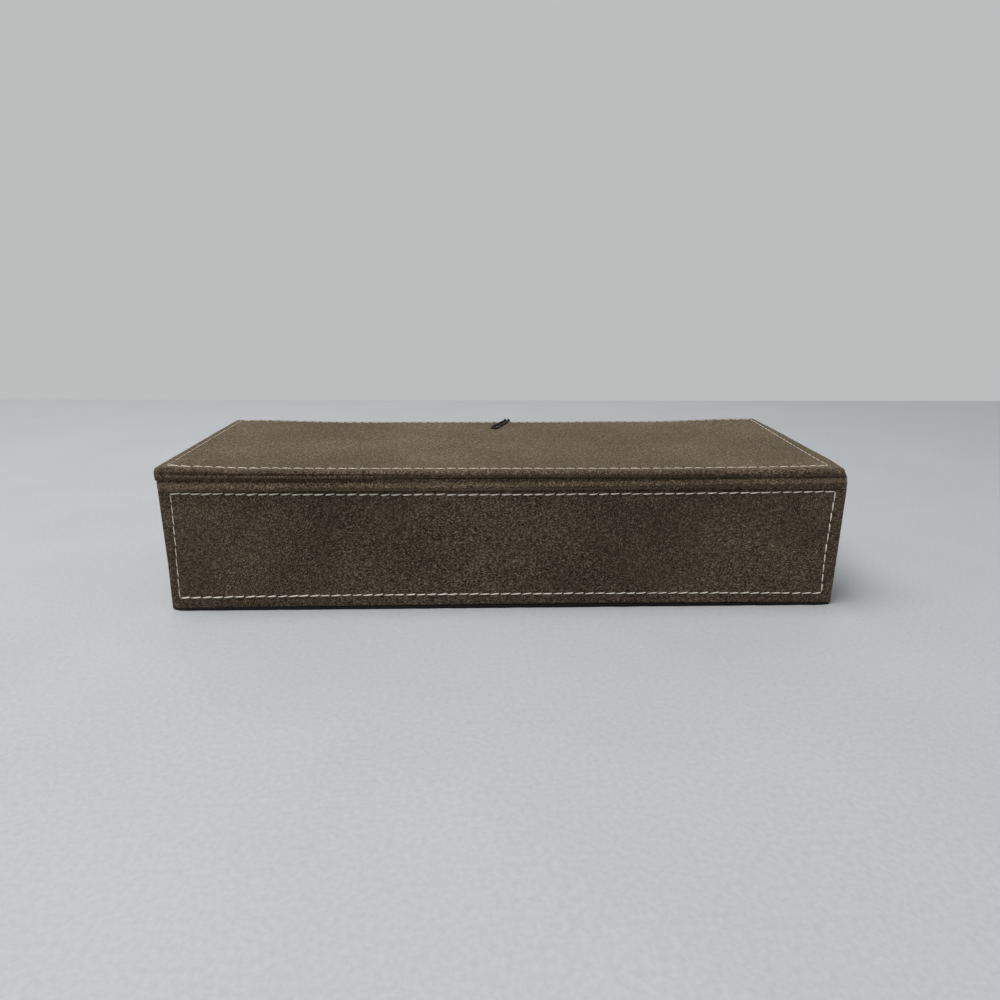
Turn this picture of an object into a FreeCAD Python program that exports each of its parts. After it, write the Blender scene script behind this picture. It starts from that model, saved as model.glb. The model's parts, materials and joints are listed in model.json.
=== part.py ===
import FreeCAD, Part
import math
import os
import re
import Sketcher

# A long, low cufflink box covered in suede. A lid hinged along the back edge closes a grid of
# cufflink cells, and a shallow drawer slides out of the front below them.
# Millimetres. The origin is the middle of the underside, +Z up, X along the box.
# The drawer and the lid's loop face -Y, and the hinge runs along the back edge at +Y.

doc = FreeCAD.newDocument("CufflinkBox")

driving_dimensions = (
    ("case_width", 254.0, "outside, over the suede"),
    ("case_depth", 101.0, "outside, over the suede"),
    ("case_height", 55.0, "from the table to the lid's top"),
    ("suede", 0.9, "outer cover with its backing"),
    ("board", 3.0, "wall boards"),
    ("velour", 0.6, "lining of the cells, the bay and the drawer"),
    ("lid_board_thickness", 2.5, ""),
    ("floor_board_thickness", 2.5, ""),
    ("shelf_board_thickness", 2.2, "between the drawer and the cells"),
    ("base_thickness", 1.2, "black sheet under the box"),
    ("base_inset", 1.2, "sheet's edge inside the walls"),
    ("edge_round", 0.7, "outer edges of the suede"),
    ("lid_gap", 0.3, "between the walls and the closed lid"),
    ("lid_turn_in", 14.0, "suede turned under the lid board"),
    ("lid_pad_gap", 1.5, "between the lid's pad and the walls"),
    ("lid_pad_board_thickness", 1.2, ""),
    ("lid_pad_drop", 3.0, "pad's thickness with its board"),
    ("lid_pad_round", 1.2, ""),
    ("hinge_strip_height", 3.4, "from the wall top down"),
    ("hinge_strip_thickness", 0.75, ""),
    ("hinge_strip_round", 0.6, ""),
    ("hinge_tape_thickness", 0.3, ""),
    ("hinge_tape_drop", 4.0, "down the inside of the back wall"),
    ("cell_columns", 5, "in each of the two rows"),
    ("divider_thickness", 2.4, "card covered in velour"),
    ("divider_headroom", 3.0, "from the dividers' tops to the lid's pad"),
    ("lap_gap", 0.1, "each side of a cross lap"),
    ("cushion_height", 10.0, ""),
    ("cushion_gap", 0.6, "round each cushion"),
    ("cushion_round", 4.0, "top edges"),
    ("cushion_corner", 5.0, "upright corners"),
    ("slit_width", 1.8, "at the top"),
    ("slit_root", 0.6, "at the bottom"),
    ("slit_depth", 6.0, ""),
    ("slit_margin", 7.0, "from the slit's end to the cushion's side"),
    ("drawer_height", 20.9, ""),
    ("drawer_board_thickness", 2.0, ""),
    ("drawer_bottom_thickness", 1.5, ""),
    ("drawer_side_gap", 0.6, ""),
    ("drawer_top_gap", 0.5, ""),
    ("drawer_floor_gap", 0.2, ""),
    ("drawer_back_gap", 1.0, ""),
    ("drawer_front_inset", 0.4, "front of the drawer behind the case's front"),
    ("drawer_side_drop", 2.5, "side walls lower than the back wall"),
    ("drawer_travel", 75.0, "until the back wall meets the stop strip"),
    ("drawer_rooms", 3, "compartments of the drawer"),
    ("drawer_divider_height", 12.0, ""),
    ("stop_strip_height", 2.0, ""),
    ("stop_strip_depth", 3.0, ""),
    ("stop_strip_length", 200.0, ""),
    ("stop_gap", 0.3, "left when the drawer is out"),
    ("stitch_pitch", 4.04, ""),
    ("stitch_length", 3.0, ""),
    ("stitch_width", 0.7, ""),
    ("stitch_height", 0.3, "thread standing on the suede"),
    ("stitch_slant", 0.25, "rise of one stitch across its length"),
    ("stitch_margin", 3.3, "from the sides of a panel"),
    ("stitch_top_margin", 4.4, "from the top of the walls"),
    ("stitch_bottom_margin", 3.5, "from the bottom of the walls"),
    ("lid_stitch_margin", 4.0, "from the lid's edges"),
    ("cord_diameter", 1.1, "loops of the lid and the drawer"),
    ("cord_hole_gap", 0.05, "round the cord in its hole"),
    ("lift_loop_reach", 4.0, "depth of the loop's holes in the lid board"),
    ("drawer_loop_height", 11.7, "from the drawer's underside to the loop's holes"),
)
sizes = doc.addObject("Spreadsheet::Sheet", "Sizes")
for row, (alias, value, note) in enumerate(driving_dimensions, 1):
    sizes.set(f"A{row}", alias)
    sizes.set(f"B{row}", str(value))
    sizes.set(f"C{row}", note)
    sizes.setAlias(f"B{row}", alias)
doc.recompute()

# Levels and faces worked out from the driving dimensions.
worked_out = (
    ("half_width", "case_width / 2"),
    ("half_depth", "case_depth / 2"),
    ("wall", "suede + board + velour"),
    ("skin_x", "half_width - suede"),
    ("skin_y", "half_depth - suede"),
    ("board_x", "skin_x - board"),
    ("board_y", "skin_y - board"),
    ("inner_x", "half_width - wall"),
    ("inner_y", "half_depth - wall"),
    ("lid_bottom", "case_height - 2 * suede - lid_board_thickness"),
    ("wall_top", "lid_bottom - lid_gap"),
    ("board_top", "wall_top - suede"),
    ("hinge_low", "wall_top - hinge_strip_height"),
    ("floor_top", "base_thickness + floor_board_thickness"),
    ("bay_floor", "floor_top + velour"),
    ("drawer_low", "bay_floor + drawer_floor_gap"),
    ("drawer_high", "drawer_low + drawer_height"),
    ("drawer_floor", "drawer_low + drawer_bottom_thickness"),
    ("drawer_wall_top", "drawer_high - drawer_side_drop"),
    ("drawer_x", "inner_x - drawer_side_gap"),
    ("drawer_inner_x", "drawer_x - drawer_board_thickness"),
    ("drawer_front", "drawer_front_inset - half_depth"),
    ("drawer_skin", "drawer_front + suede"),
    ("drawer_inside", "drawer_skin + drawer_board_thickness"),
    ("drawer_back", "board_y - drawer_back_gap"),
    ("drawer_back_inside", "drawer_back - drawer_board_thickness"),
    ("stop_face", "drawer_back_inside - drawer_travel - stop_gap"),
    ("shelf_low", "drawer_high + drawer_top_gap"),
    ("shelf_high", "shelf_low + shelf_board_thickness"),
    ("cell_floor", "shelf_high + velour"),
    ("lap_half", "divider_thickness / 2 + lap_gap"),
    ("cell_pitch", "(2 * inner_x + divider_thickness) / cell_columns"),
    ("cell_width", "cell_pitch - divider_thickness"),
    ("cell_depth", "inner_y - divider_thickness / 2"),
    ("room_pitch", "(2 * drawer_inner_x - 2 * velour + divider_thickness) / drawer_rooms"),
    ("pad_x", "inner_x - lid_pad_gap"),
    ("pad_y", "inner_y - lid_pad_gap"),
    ("pad_low", "lid_bottom - lid_pad_drop"),
    ("pad_board_low", "lid_bottom - lid_pad_board_thickness"),
    ("divider_top", "pad_low - divider_headroom"),
    ("lap_level", "(cell_floor + divider_top) / 2"),
    ("lift_loop_level", "lid_bottom + suede + lid_board_thickness / 2"),
    ("drawer_loop_level", "drawer_low + drawer_loop_height"),
)
places = doc.addObject("App::VarSet", "Places")
owners = {alias: "Sizes" for alias, value, note in driving_dimensions}


def full(text):
    # Bare names in an expression become Sizes.name or Places.name.
    return re.sub(r"[a-z]\w*", lambda word: qualified(word.group()), text)


def qualified(word):
    return f"{owners[word]}.{word}" if word in owners else word


for name, text in worked_out:
    places.addProperty("App::PropertyFloat", name, "Worked out")
    places.setExpression(name, full(text))
    owners[name] = "Places"
doc.recompute()

subparts = []
facing = {"XY_Plane": 1, "XZ_Plane": -1, "YZ_Plane": 1}


def number(text):
    # The present value of an expression.
    return float(places.evalExpression(full(text)))


def count(text):
    return int(round(number(text)))


def new_body(label):
    made = doc.addObject("PartDesign::Body", label)
    made.Label = label
    made.AllowCompound = True
    subparts.append(made)
    return made


def both(half):
    # The range from -half to half.
    return f"-({half})", half


def on_side(side, low, high):
    # A range on the +X side, or the same one mirrored to -X.
    return (low, high) if side > 0 else (f"-({high})", f"-({low})")


def rectangle(across, up):
    return [(across[0], up[0]), (across[1], up[0]), (across[1], up[1]), (across[0], up[1])]


def new_sketch(made, plane, level):
    sketch = made.newObject("Sketcher::SketchObject", f"{made.Name}_sketch")
    origin_plane = [feature for feature in made.Origin.OriginFeatures if feature.Role == plane][0]
    sketch.AttachmentSupport = [(origin_plane, "")]
    sketch.MapMode = "FlatFace"
    sketch.setExpression("AttachmentOffset.Base.z", full(level))
    return sketch


def draw(sketch, outline):
    # A closed outline of straight lines. Each corner is held by two dimensions.
    first = sketch.GeometryCount
    corners = [FreeCAD.Vector(number(across), number(up), 0) for across, up in outline]
    for start, end in zip(corners, corners[1:] + corners[:1]):
        sketch.addGeometry(Part.LineSegment(start, end))
    for turn, (across, up) in enumerate(outline):
        line = first + turn
        following = first + (turn + 1) % len(outline)
        sketch.addConstraint(Sketcher.Constraint("Coincident", line, 2, following, 1))
        dimensions = (("DistanceX", corners[turn].x, across), ("DistanceY", corners[turn].y, up))
        for kind, value, text in dimensions:
            held = sketch.addConstraint(Sketcher.Constraint(kind, line, 1, value))
            sketch.setExpression(f"Constraints[{held}]", full(text))


def draw_hole(sketch, across, level):
    # A hole for the cord, centred at a distance across and at a named level.
    radius = "cord_diameter / 2 + cord_hole_gap"
    centre = FreeCAD.Vector(across, number(level), 0)
    circle = sketch.addGeometry(Part.Circle(centre, FreeCAD.Vector(0, 0, 1), number(radius)))
    sketch.addConstraint(Sketcher.Constraint("DistanceX", circle, 3, across))
    held = sketch.addConstraint(Sketcher.Constraint("DistanceY", circle, 3, centre.y))
    sketch.setExpression(f"Constraints[{held}]", full(level))
    held = sketch.addConstraint(Sketcher.Constraint("Radius", circle, number(radius)))
    sketch.setExpression(f"Constraints[{held}]", full(radius))


def pad(made, plane, outlines, reach):
    # The plane XZ faces -Y, so a pad on it starts at the high end of its reach.
    low, high = reach
    sketch = new_sketch(made, plane, low if facing[plane] > 0 else f"-({high})")
    for outline in outlines:
        draw(sketch, outline)
    feature = made.newObject("PartDesign::Pad", f"{made.Name}_pad")
    feature.Profile = sketch
    feature.setExpression("Length", full(f"({high}) - ({low})"))
    doc.recompute()
    return feature, sketch


def cut_to(made, sketch, reach):
    # A pocket runs against its plane's facing, and has to take something away.
    low, high = reach
    before = made.Shape.Volume
    feature = made.newObject("PartDesign::Pocket", f"{made.Name}_pocket")
    feature.Profile = sketch
    feature.setExpression("Length", full(f"({high}) - ({low})"))
    doc.recompute()
    if made.Shape.Volume >= before:
        raise RuntimeError(f"{made.Label}: a pocket cut nothing")


def pocket(made, plane, outlines, reach):
    low, high = reach
    sketch = new_sketch(made, plane, high if facing[plane] > 0 else f"-({low})")
    for outline in outlines:
        draw(sketch, outline)
    cut_to(made, sketch, reach)


def drill(made, loop_points, level, reach):
    # Two holes along Y, where a cord loop's two ends go in.
    low, high = reach
    sketch = new_sketch(made, "XZ_Plane", f"-({low})")
    for end in (loop_points[0], loop_points[-1]):
        draw_hole(sketch, end[0], level)
    cut_to(made, sketch, reach)


def lies_on(edge, axis, text):
    box = edge.BoundBox
    value = number(text)
    return abs(getattr(box, f"{axis}Min") - value) < 1e-3 and abs(getattr(box, f"{axis}Max") - value) < 1e-3


def on_either(edge, axis, half):
    return lies_on(edge, axis, half) or lies_on(edge, axis, f"-({half})")


def round_edges(made, radius, wanted):
    base = made.Tip
    names = [f"Edge{place}" for place, edge in enumerate(base.Shape.Edges, 1) if wanted(edge)]
    feature = made.newObject("PartDesign::Fillet", f"{made.Name}_fillet")
    feature.Base = (base, names)
    feature.setExpression("Radius", full(radius))
    doc.recompute()


def repeat(made, feature, sketch, axis, length, times):
    pattern = made.newObject("PartDesign::LinearPattern", f"{made.Name}_pattern")
    pattern.Originals = [feature]
    pattern.Direction = (sketch, [axis])
    pattern.setExpression("Length", full(length))
    pattern.setExpression("Occurrences", full(times))
    made.Tip = pattern
    doc.recompute()


def slab(label, x, y, z):
    made = new_body(label)
    pad(made, "XY_Plane", [rectangle(x, y)], z)
    return made


# Base, floor, walls and shelf of the case.


def make_boards():
    base_x = both("half_width - base_inset")
    base_y = both("half_depth - base_inset")
    slab("base_sheet", base_x, base_y, ("0", "base_thickness"))
    slab("floor_board", both("board_x"), ("-skin_y", "board_y"), ("base_thickness", "floor_top"))
    slab("back_board", both("skin_x"), ("board_y", "skin_y"), ("base_thickness", "board_top"))
    for side, label in ((-1, "left_board"), (1, "right_board")):
        x = on_side(side, "board_x", "skin_x")
        slab(label, x, ("-skin_y", "board_y"), ("base_thickness", "board_top"))
    slab("shelf_board", both("board_x"), ("-skin_y", "board_y"), ("shelf_low", "shelf_high"))
    slab("front_rail_board", both("board_x"), ("-skin_y", "-board_y"), ("shelf_high", "board_top"))


def make_side_cover(side, label):
    # Outer face, front return over the board's edge, and top return over board and lining.
    made = new_body(label)
    x = on_side(side, "inner_x", "half_width")
    pad(made, "XY_Plane", [rectangle(x, ("-half_depth", "skin_y"))], ("base_thickness", "wall_top"))
    hollow = rectangle(on_side(side, "inner_x", "skin_x"), ("-skin_y", "skin_y"))
    pocket(made, "XY_Plane", [hollow], ("base_thickness", "board_top"))

    def outer(edge):
        on_face = on_either(edge, "X", "half_width")
        on_front = lies_on(edge, "Y", "-half_depth")
        on_top = lies_on(edge, "Z", "wall_top")
        return on_face + on_front + on_top == 2

    round_edges(made, "edge_round", outer)


def make_back_cover():
    made = slab("back_cover", both("half_width"), ("skin_y", "half_depth"), ("base_thickness", "hinge_low"))

    def outer(edge):
        on_side_face = on_either(edge, "X", "half_width")
        return lies_on(edge, "Y", "half_depth") and (on_side_face or lies_on(edge, "Z", "hinge_low"))

    round_edges(made, "edge_round", outer)


def make_front_covers():
    # The rail's cover goes over the shelf's edge below it, and the sill's over the floor's.
    made = new_body("front_rail_cover")
    rail = rectangle(both("inner_x"), ("-half_depth", "-inner_y"))
    pad(made, "XY_Plane", [rail], ("shelf_low", "wall_top"))
    hollow = rectangle(both("inner_x"), ("-skin_y", "-inner_y"))
    pocket(made, "XY_Plane", [hollow], ("shelf_low", "board_top"))

    def outer(edge):
        on_front = lies_on(edge, "Y", "-half_depth")
        return on_front and (lies_on(edge, "Z", "wall_top") or lies_on(edge, "Z", "shelf_low"))

    round_edges(made, "edge_round", outer)
    slab("sill_cover", both("inner_x"), ("-half_depth", "-skin_y"), ("base_thickness", "bay_floor"))


def make_hinge():
    # A roll of suede outside, and a velour tape inside with a leg on the case and one on the lid.
    made = new_body("hinge_strip")
    y = ("skin_y", "skin_y + hinge_strip_thickness")
    pad(made, "YZ_Plane", [rectangle(y, ("hinge_low", "wall_top"))], both("half_width - edge_round"))

    def outer(edge):
        on_back = lies_on(edge, "Y", "skin_y + hinge_strip_thickness")
        return on_back and (lies_on(edge, "Z", "hinge_low") or lies_on(edge, "Z", "wall_top"))

    round_edges(made, "hinge_strip_round", outer)

    made = new_body("hinge_tape")
    inside = "inner_y - hinge_tape_thickness"
    tape_top = "board_top + hinge_tape_thickness"
    corner = [
        (inside, "board_top - hinge_tape_drop"),
        ("inner_y", "board_top - hinge_tape_drop"),
        ("inner_y", "board_top"),
        ("skin_y", "board_top"),
        ("skin_y", tape_top),
        (inside, tape_top),
    ]
    pad(made, "YZ_Plane", [corner], both("inner_x"))
    lid_leg = ("lid_bottom - hinge_tape_thickness", "lid_bottom")
    slab("lid_hinge_tape", both("inner_x"), ("pad_y", "skin_y"), lid_leg)


def make_case_linings():
    made = new_body("wall_lining")
    ring = [rectangle(both("board_x"), both("board_y")), rectangle(both("inner_x"), both("inner_y"))]
    pad(made, "XY_Plane", ring, ("shelf_high", "board_top"))
    slab("floor_lining", both("inner_x"), both("inner_y"), ("shelf_high", "cell_floor"))
    made = new_body("bay_lining")
    channel = rectangle(both("board_x"), ("floor_top", "shelf_low"))
    pad(made, "XZ_Plane", [channel], ("-skin_y", "board_y"))
    hollow = rectangle(both("inner_x"), ("bay_floor", "shelf_low"))
    pocket(made, "XZ_Plane", [hollow], ("-skin_y", "board_y"))


# The grid of cells and the cushions in it.


def divider_x(place):
    return f"{place} * cell_pitch - inner_x - divider_thickness / 2"


def make_cell_dividers():
    # The long divider is notched from above and the cross dividers from below.
    across = count("cell_columns")
    made = new_body("long_divider")
    y = both("divider_thickness / 2")
    pad(made, "XZ_Plane", [rectangle(both("inner_x"), ("cell_floor", "divider_top"))], y)
    notches = []
    for place in range(1, across):
        middle = divider_x(place)
        x = (f"{middle} - lap_half", f"{middle} + lap_half")
        notches.append(rectangle(x, ("lap_level - lap_gap", "divider_top")))
    pocket(made, "XZ_Plane", notches, y)
    for place in range(1, across):
        made = new_body(f"cross_divider_{place}")
        x = both("divider_thickness / 2")
        pad(made, "YZ_Plane", [rectangle(both("inner_y"), ("cell_floor", "divider_top"))], x)
        notch = rectangle(both("lap_half"), ("cell_floor", "lap_level"))
        pocket(made, "YZ_Plane", [notch], x)
        made.setExpression("Placement.Base.x", full(divider_x(place)))


def make_cushion(label, column, row):
    # A soft block with rounded top edges and a tapering slit for the cufflink's shank.
    made = new_body(label)
    half_x = "cell_width / 2 - cushion_gap"
    half_y = "cell_depth / 2 - cushion_gap"
    pad(made, "XY_Plane", [rectangle(both(half_x), both(half_y))], ("0", "cushion_height"))

    def upright(edge):
        return on_either(edge, "X", half_x) and on_either(edge, "Y", half_y)

    round_edges(made, "cushion_corner", upright)
    round_edges(made, "cushion_round", lambda edge: lies_on(edge, "Z", "cushion_height"))
    slit = [
        ("-slit_width / 2", "cushion_height"),
        ("-slit_root / 2", "cushion_height - slit_depth"),
        ("slit_root / 2", "cushion_height - slit_depth"),
        ("slit_width / 2", "cushion_height"),
    ]
    pocket(made, "YZ_Plane", [slit], both(f"{half_x} - slit_margin"))
    made.setExpression("Placement.Base.x", full(f"{column} * cell_pitch + cell_width / 2 - inner_x"))
    made.setExpression("Placement.Base.y", full(f"{row} * (cell_depth + divider_thickness) / 2"))
    made.setExpression("Placement.Base.z", full("cell_floor"))


def make_cushions():
    across = count("cell_columns")
    for row, first in ((-1, 1), (1, across + 1)):
        for column in range(across):
            make_cushion(f"cufflink_cushion_{first + column}", column, row)


# The lid.


def make_lid():
    made = slab("lid_board", both("skin_x"), both("skin_y"), ("lid_bottom + suede", "case_height - suede"))
    drill(made, lift_loop_points, "lift_loop_level", ("-skin_y", "lift_loop_reach - skin_y"))

    made = slab("lid_cover", both("half_width"), both("half_depth"), ("lid_bottom", "case_height"))

    def outer(edge):
        on_side_face = on_either(edge, "X", "half_width")
        on_end_face = on_either(edge, "Y", "half_depth")
        on_top = lies_on(edge, "Z", "case_height")
        return on_side_face + on_end_face + on_top == 2

    round_edges(made, "edge_round", outer)
    board_room = rectangle(both("skin_x"), both("skin_y"))
    pocket(made, "XY_Plane", [board_room], ("lid_bottom", "case_height - suede"))
    window = rectangle(both("half_width - lid_turn_in"), both("half_depth - lid_turn_in"))
    pad(made, "XY_Plane", [board_room, window], ("lid_bottom", "lid_bottom + suede"))
    drill(made, lift_loop_points, "lift_loop_level", ("-half_depth", "-skin_y"))

    # The pad's velour holds its board like a shallow tray.
    board_x = "pad_x - velour"
    board_y = "pad_y - velour"
    slab("lid_pad_board", both(board_x), both(board_y), ("pad_board_low", "lid_bottom"))
    made = slab("lid_pad", both("pad_x"), both("pad_y"), ("pad_low", "lid_bottom"))
    round_edges(made, "lid_pad_round", lambda edge: lies_on(edge, "Z", "pad_low"))
    pocket(made, "XY_Plane", [rectangle(both(board_x), both(board_y))], ("pad_board_low", "lid_bottom"))


# The drawer and its stop.


def make_drawer():
    front_x = "drawer_x - suede"
    board_z = ("drawer_low + suede", "drawer_high - suede")
    made = slab("drawer_front_board", both(front_x), ("drawer_skin", "drawer_inside"), board_z)
    drill(made, drawer_loop_points, "drawer_loop_level", ("drawer_skin", "drawer_inside"))

    front_y = ("drawer_front", "drawer_inside")
    made = slab("drawer_front_cover", both("drawer_x"), front_y, ("drawer_low", "drawer_high"))

    def outer(edge):
        on_end = on_either(edge, "X", "drawer_x")
        on_level = lies_on(edge, "Z", "drawer_low") or lies_on(edge, "Z", "drawer_high")
        return lies_on(edge, "Y", "drawer_front") and (on_end or on_level)

    round_edges(made, "edge_round", outer)
    pocket(made, "XZ_Plane", [rectangle(both(front_x), board_z)], ("drawer_skin", "drawer_inside"))
    drill(made, drawer_loop_points, "drawer_loop_level", ("drawer_front", "drawer_skin"))

    for side, label in ((-1, "drawer_left_board"), (1, "drawer_right_board")):
        x = on_side(side, "drawer_inner_x", "drawer_x")
        slab(label, x, ("drawer_inside", "drawer_back"), ("drawer_low", "drawer_wall_top"))
    between = both("drawer_inner_x")
    slab("drawer_back_board", between, ("drawer_back_inside", "drawer_back"), ("drawer_low", "drawer_high"))
    y = ("drawer_inside", "drawer_back_inside")
    slab("drawer_bottom_board", between, y, ("drawer_low", "drawer_floor"))

    made = new_body("drawer_wall_lining")
    lined = rectangle(both("drawer_inner_x - velour"), (f"{y[0]} + velour", f"{y[1]} - velour"))
    pad(made, "XY_Plane", [rectangle(between, y), lined], ("drawer_floor", "drawer_wall_top"))
    made = new_body("drawer_floor_lining")
    pad(made, "XY_Plane", [lined], ("drawer_floor", "drawer_floor + velour"))
    for place in range(1, count("drawer_rooms")):
        made = new_body(f"drawer_divider_{place}")
        x = f"{place} * room_pitch - drawer_inner_x + velour - divider_thickness / 2"
        across = rectangle(both("divider_thickness / 2"), (f"{y[0]} + velour", f"{y[1]} - velour"))
        low = "drawer_floor + velour"
        pad(made, "XY_Plane", [across], (low, f"{low} + drawer_divider_height"))
        made.setExpression("Placement.Base.x", full(x))

    # A strip under the shelf that the drawer's tall back wall meets.
    stop_y = ("stop_face - stop_strip_depth", "stop_face")
    stop_z = ("shelf_low - stop_strip_height", "shelf_low")
    slab("drawer_stop_strip", both("stop_strip_length / 2"), stop_y, stop_z)


# Saddle stitching, one group of stitches for each panel.


def stitch_run(made, plane, levels, ends, face, along_rows):
    # Stitches stand in a line at each of two levels, between the two ends of the run.
    run = f"({ends[1]} - ({ends[0]}))"
    times = f"round({run} / stitch_pitch)"
    start = f"{ends[0]} + ({run} / {times} - stitch_length) / 2"
    stop = f"{start} + stitch_length"
    outlines = []
    for level in levels:
        low = f"{level} - stitch_width / 2"
        high = f"{level} + stitch_width / 2"
        outline = [
            (start, f"{low} - stitch_slant / 2"),
            (stop, f"{low} + stitch_slant / 2"),
            (stop, f"{high} + stitch_slant / 2"),
            (start, f"{high} - stitch_slant / 2"),
        ]
        outlines.append(outline if along_rows else [(up, across) for across, up in outline])
    feature, sketch = pad(made, plane, outlines, face)
    axis = "H_Axis" if along_rows else "V_Axis"
    repeat(made, feature, sketch, axis, f"{run} * (1 - 1 / {times})", times)


def make_stitching(label, plane, across, up, face):
    made = new_body(label)
    stitch_run(made, plane, up, across, face, True)
    stitch_run(made, plane, across, up, face, False)


def make_all_stitching():
    wall_levels = ("base_thickness + stitch_bottom_margin", "wall_top - stitch_top_margin")
    lid_x = both("half_width - lid_stitch_margin")
    lid_y = both("half_depth - lid_stitch_margin")
    make_stitching("lid_stitching", "XY_Plane", lid_x, lid_y, ("case_height", "case_height + stitch_height"))
    back_face = ("half_depth", "half_depth + stitch_height")
    make_stitching("back_stitching", "XZ_Plane", both("half_width - stitch_margin"), wall_levels, back_face)
    for side, label in ((-1, "left_stitching"), (1, "right_stitching")):
        side_face = on_side(side, "half_width", "half_width + stitch_height")
        make_stitching(label, "YZ_Plane", both("half_depth - stitch_margin"), wall_levels, side_face)
    rail_levels = ("shelf_low + stitch_margin", wall_levels[1])
    front_face = ("-half_depth - stitch_height", "-half_depth")
    rail_x = both("inner_x - stitch_margin")
    make_stitching("front_rail_stitching", "XZ_Plane", rail_x, rail_levels, front_face)
    drawer_levels = ("drawer_low + stitch_margin", "drawer_high - stitch_margin")
    drawer_face = ("drawer_front - stitch_height", "drawer_front")
    drawer_x = both("drawer_x - stitch_margin")
    make_stitching("drawer_front_stitching", "XZ_Plane", drawer_x, drawer_levels, drawer_face)


# The two cord loops. Each route is a list of points chosen by hand, measured from the face that
# the loop comes out of and from the level of its holes.

lift_loop_points = (
    (-6.3, 4.5, 0.0),
    (-6.3, -1.4, 0.0),
    (-6.2, -1.9, 2.75),
    (-4.7, 0.9, 4.65),
    (-2.0, 5.6, 4.55),
    (1.2, 11.6, 3.65),
    (4.0, 16.9, 3.35),
    (4.6, 20.6, 3.15),
    (2.6, 21.2, 3.1),
    (0.4, 17.5, 3.15),
    (-2.0, 10.9, 3.35),
    (-3.6, 5.3, 3.65),
    (-4.3, 0.6, 3.85),
    (-4.5, -1.5, 2.35),
    (-4.5, -1.2, 0.0),
    (-4.5, 4.5, 0.0),
)
drawer_loop_points = (
    (-2.0, 2.1, 0.0),
    (-2.0, -2.1, 0.0),
    (-2.6, -3.3, -3.2),
    (-3.9, -3.1, -7.6),
    (-3.4, -2.5, -12.1),
    (-0.7, -2.2, -14.3),
    (2.2, -2.4, -13.1),
    (3.4, -2.9, -8.8),
    (2.9, -3.4, -4.0),
    (2.0, -2.4, 0.0),
    (2.0, 2.1, 0.0),
)


def route_wire(label, points):
    # Straight runs joined by arcs as large as the two runs at each point allow.
    corners = [FreeCAD.Vector(*point) for point in points]
    edges = []
    radii = []
    reached = corners[0]
    for before, corner, after in zip(corners, corners[1:], corners[2:]):
        arriving = (corner - before).normalize()
        leaving = (after - corner).normalize()
        half_turn = arriving.getAngle(leaving) / 2
        tangent = 0.45 * min((corner - before).Length, (after - corner).Length)
        radius = tangent / math.tan(half_turn)
        inward = (leaving - arriving).normalize()
        middle = corner + inward * (radius / math.cos(half_turn) - radius)
        start = corner - arriving * tangent
        end = corner + leaving * tangent
        edges.append(Part.LineSegment(reached, start).toShape())
        edges.append(Part.Arc(start, middle, end).toShape())
        radii.append(radius)
        reached = end
    edges.append(Part.LineSegment(reached, corners[-1]).toShape())
    print(label, "radii", " ".join(f"{radius:.1f}" for radius in radii))
    return Part.Wire(edges)


def make_loop(label, points, face, level):
    route = doc.addObject("Part::Feature", f"{label}_route")
    route.Shape = route_wire(label, points)
    section = doc.addObject("Part::Circle", f"{label}_section")
    section.setExpression("Radius", full("cord_diameter / 2"))
    along = FreeCAD.Vector(*points[1]) - FreeCAD.Vector(*points[0])
    turned = FreeCAD.Rotation(FreeCAD.Vector(0, 0, 1), along)
    section.Placement = FreeCAD.Placement(FreeCAD.Vector(*points[0]), turned)
    swept = doc.addObject("Part::Sweep", label)
    swept.Label = label
    swept.Sections = [section]
    swept.Spine = (route, [f"Edge{place}" for place in range(1, len(route.Shape.Edges) + 1)])
    swept.Solid = True
    swept.setExpression("Placement.Base.y", full(face))
    swept.setExpression("Placement.Base.z", full(level))
    doc.recompute()
    length = route.Shape.Length
    expected = math.pi * number("cord_diameter / 2") ** 2 * length
    ratio = swept.Shape.Volume / expected
    print(label, f"length {length:.1f}, volume over section times length {ratio:.4f}")
    subparts.append(swept)


def main():
    make_boards()
    make_side_cover(-1, "left_cover")
    make_side_cover(1, "right_cover")
    make_back_cover()
    make_front_covers()
    make_hinge()
    make_case_linings()
    make_cell_dividers()
    make_cushions()
    make_lid()
    make_drawer()
    make_all_stitching()
    make_loop("lift_loop", lift_loop_points, "-half_depth", "lift_loop_level")
    make_loop("drawer_loop", drawer_loop_points, "drawer_front", "drawer_loop_level")


main()
doc.recompute()

for thing in doc.Objects:
    if {"Invalid", "Error"} & set(thing.State):
        raise RuntimeError(f"{thing.Label} failed: {thing.State}")
for piece in subparts:
    if piece.Shape.isNull() or not piece.Shape.isValid():
        raise RuntimeError(f"{piece.Label} has no valid shape")

os.makedirs("parts", exist_ok=True)
for piece in subparts:
    piece.Shape.exportStep(f"parts/{piece.Label}.step")
print(len(subparts), "sub-parts written")
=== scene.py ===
import json
import math
import random

import bmesh
import bpy
from mathutils import Matrix, Vector, noise


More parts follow.
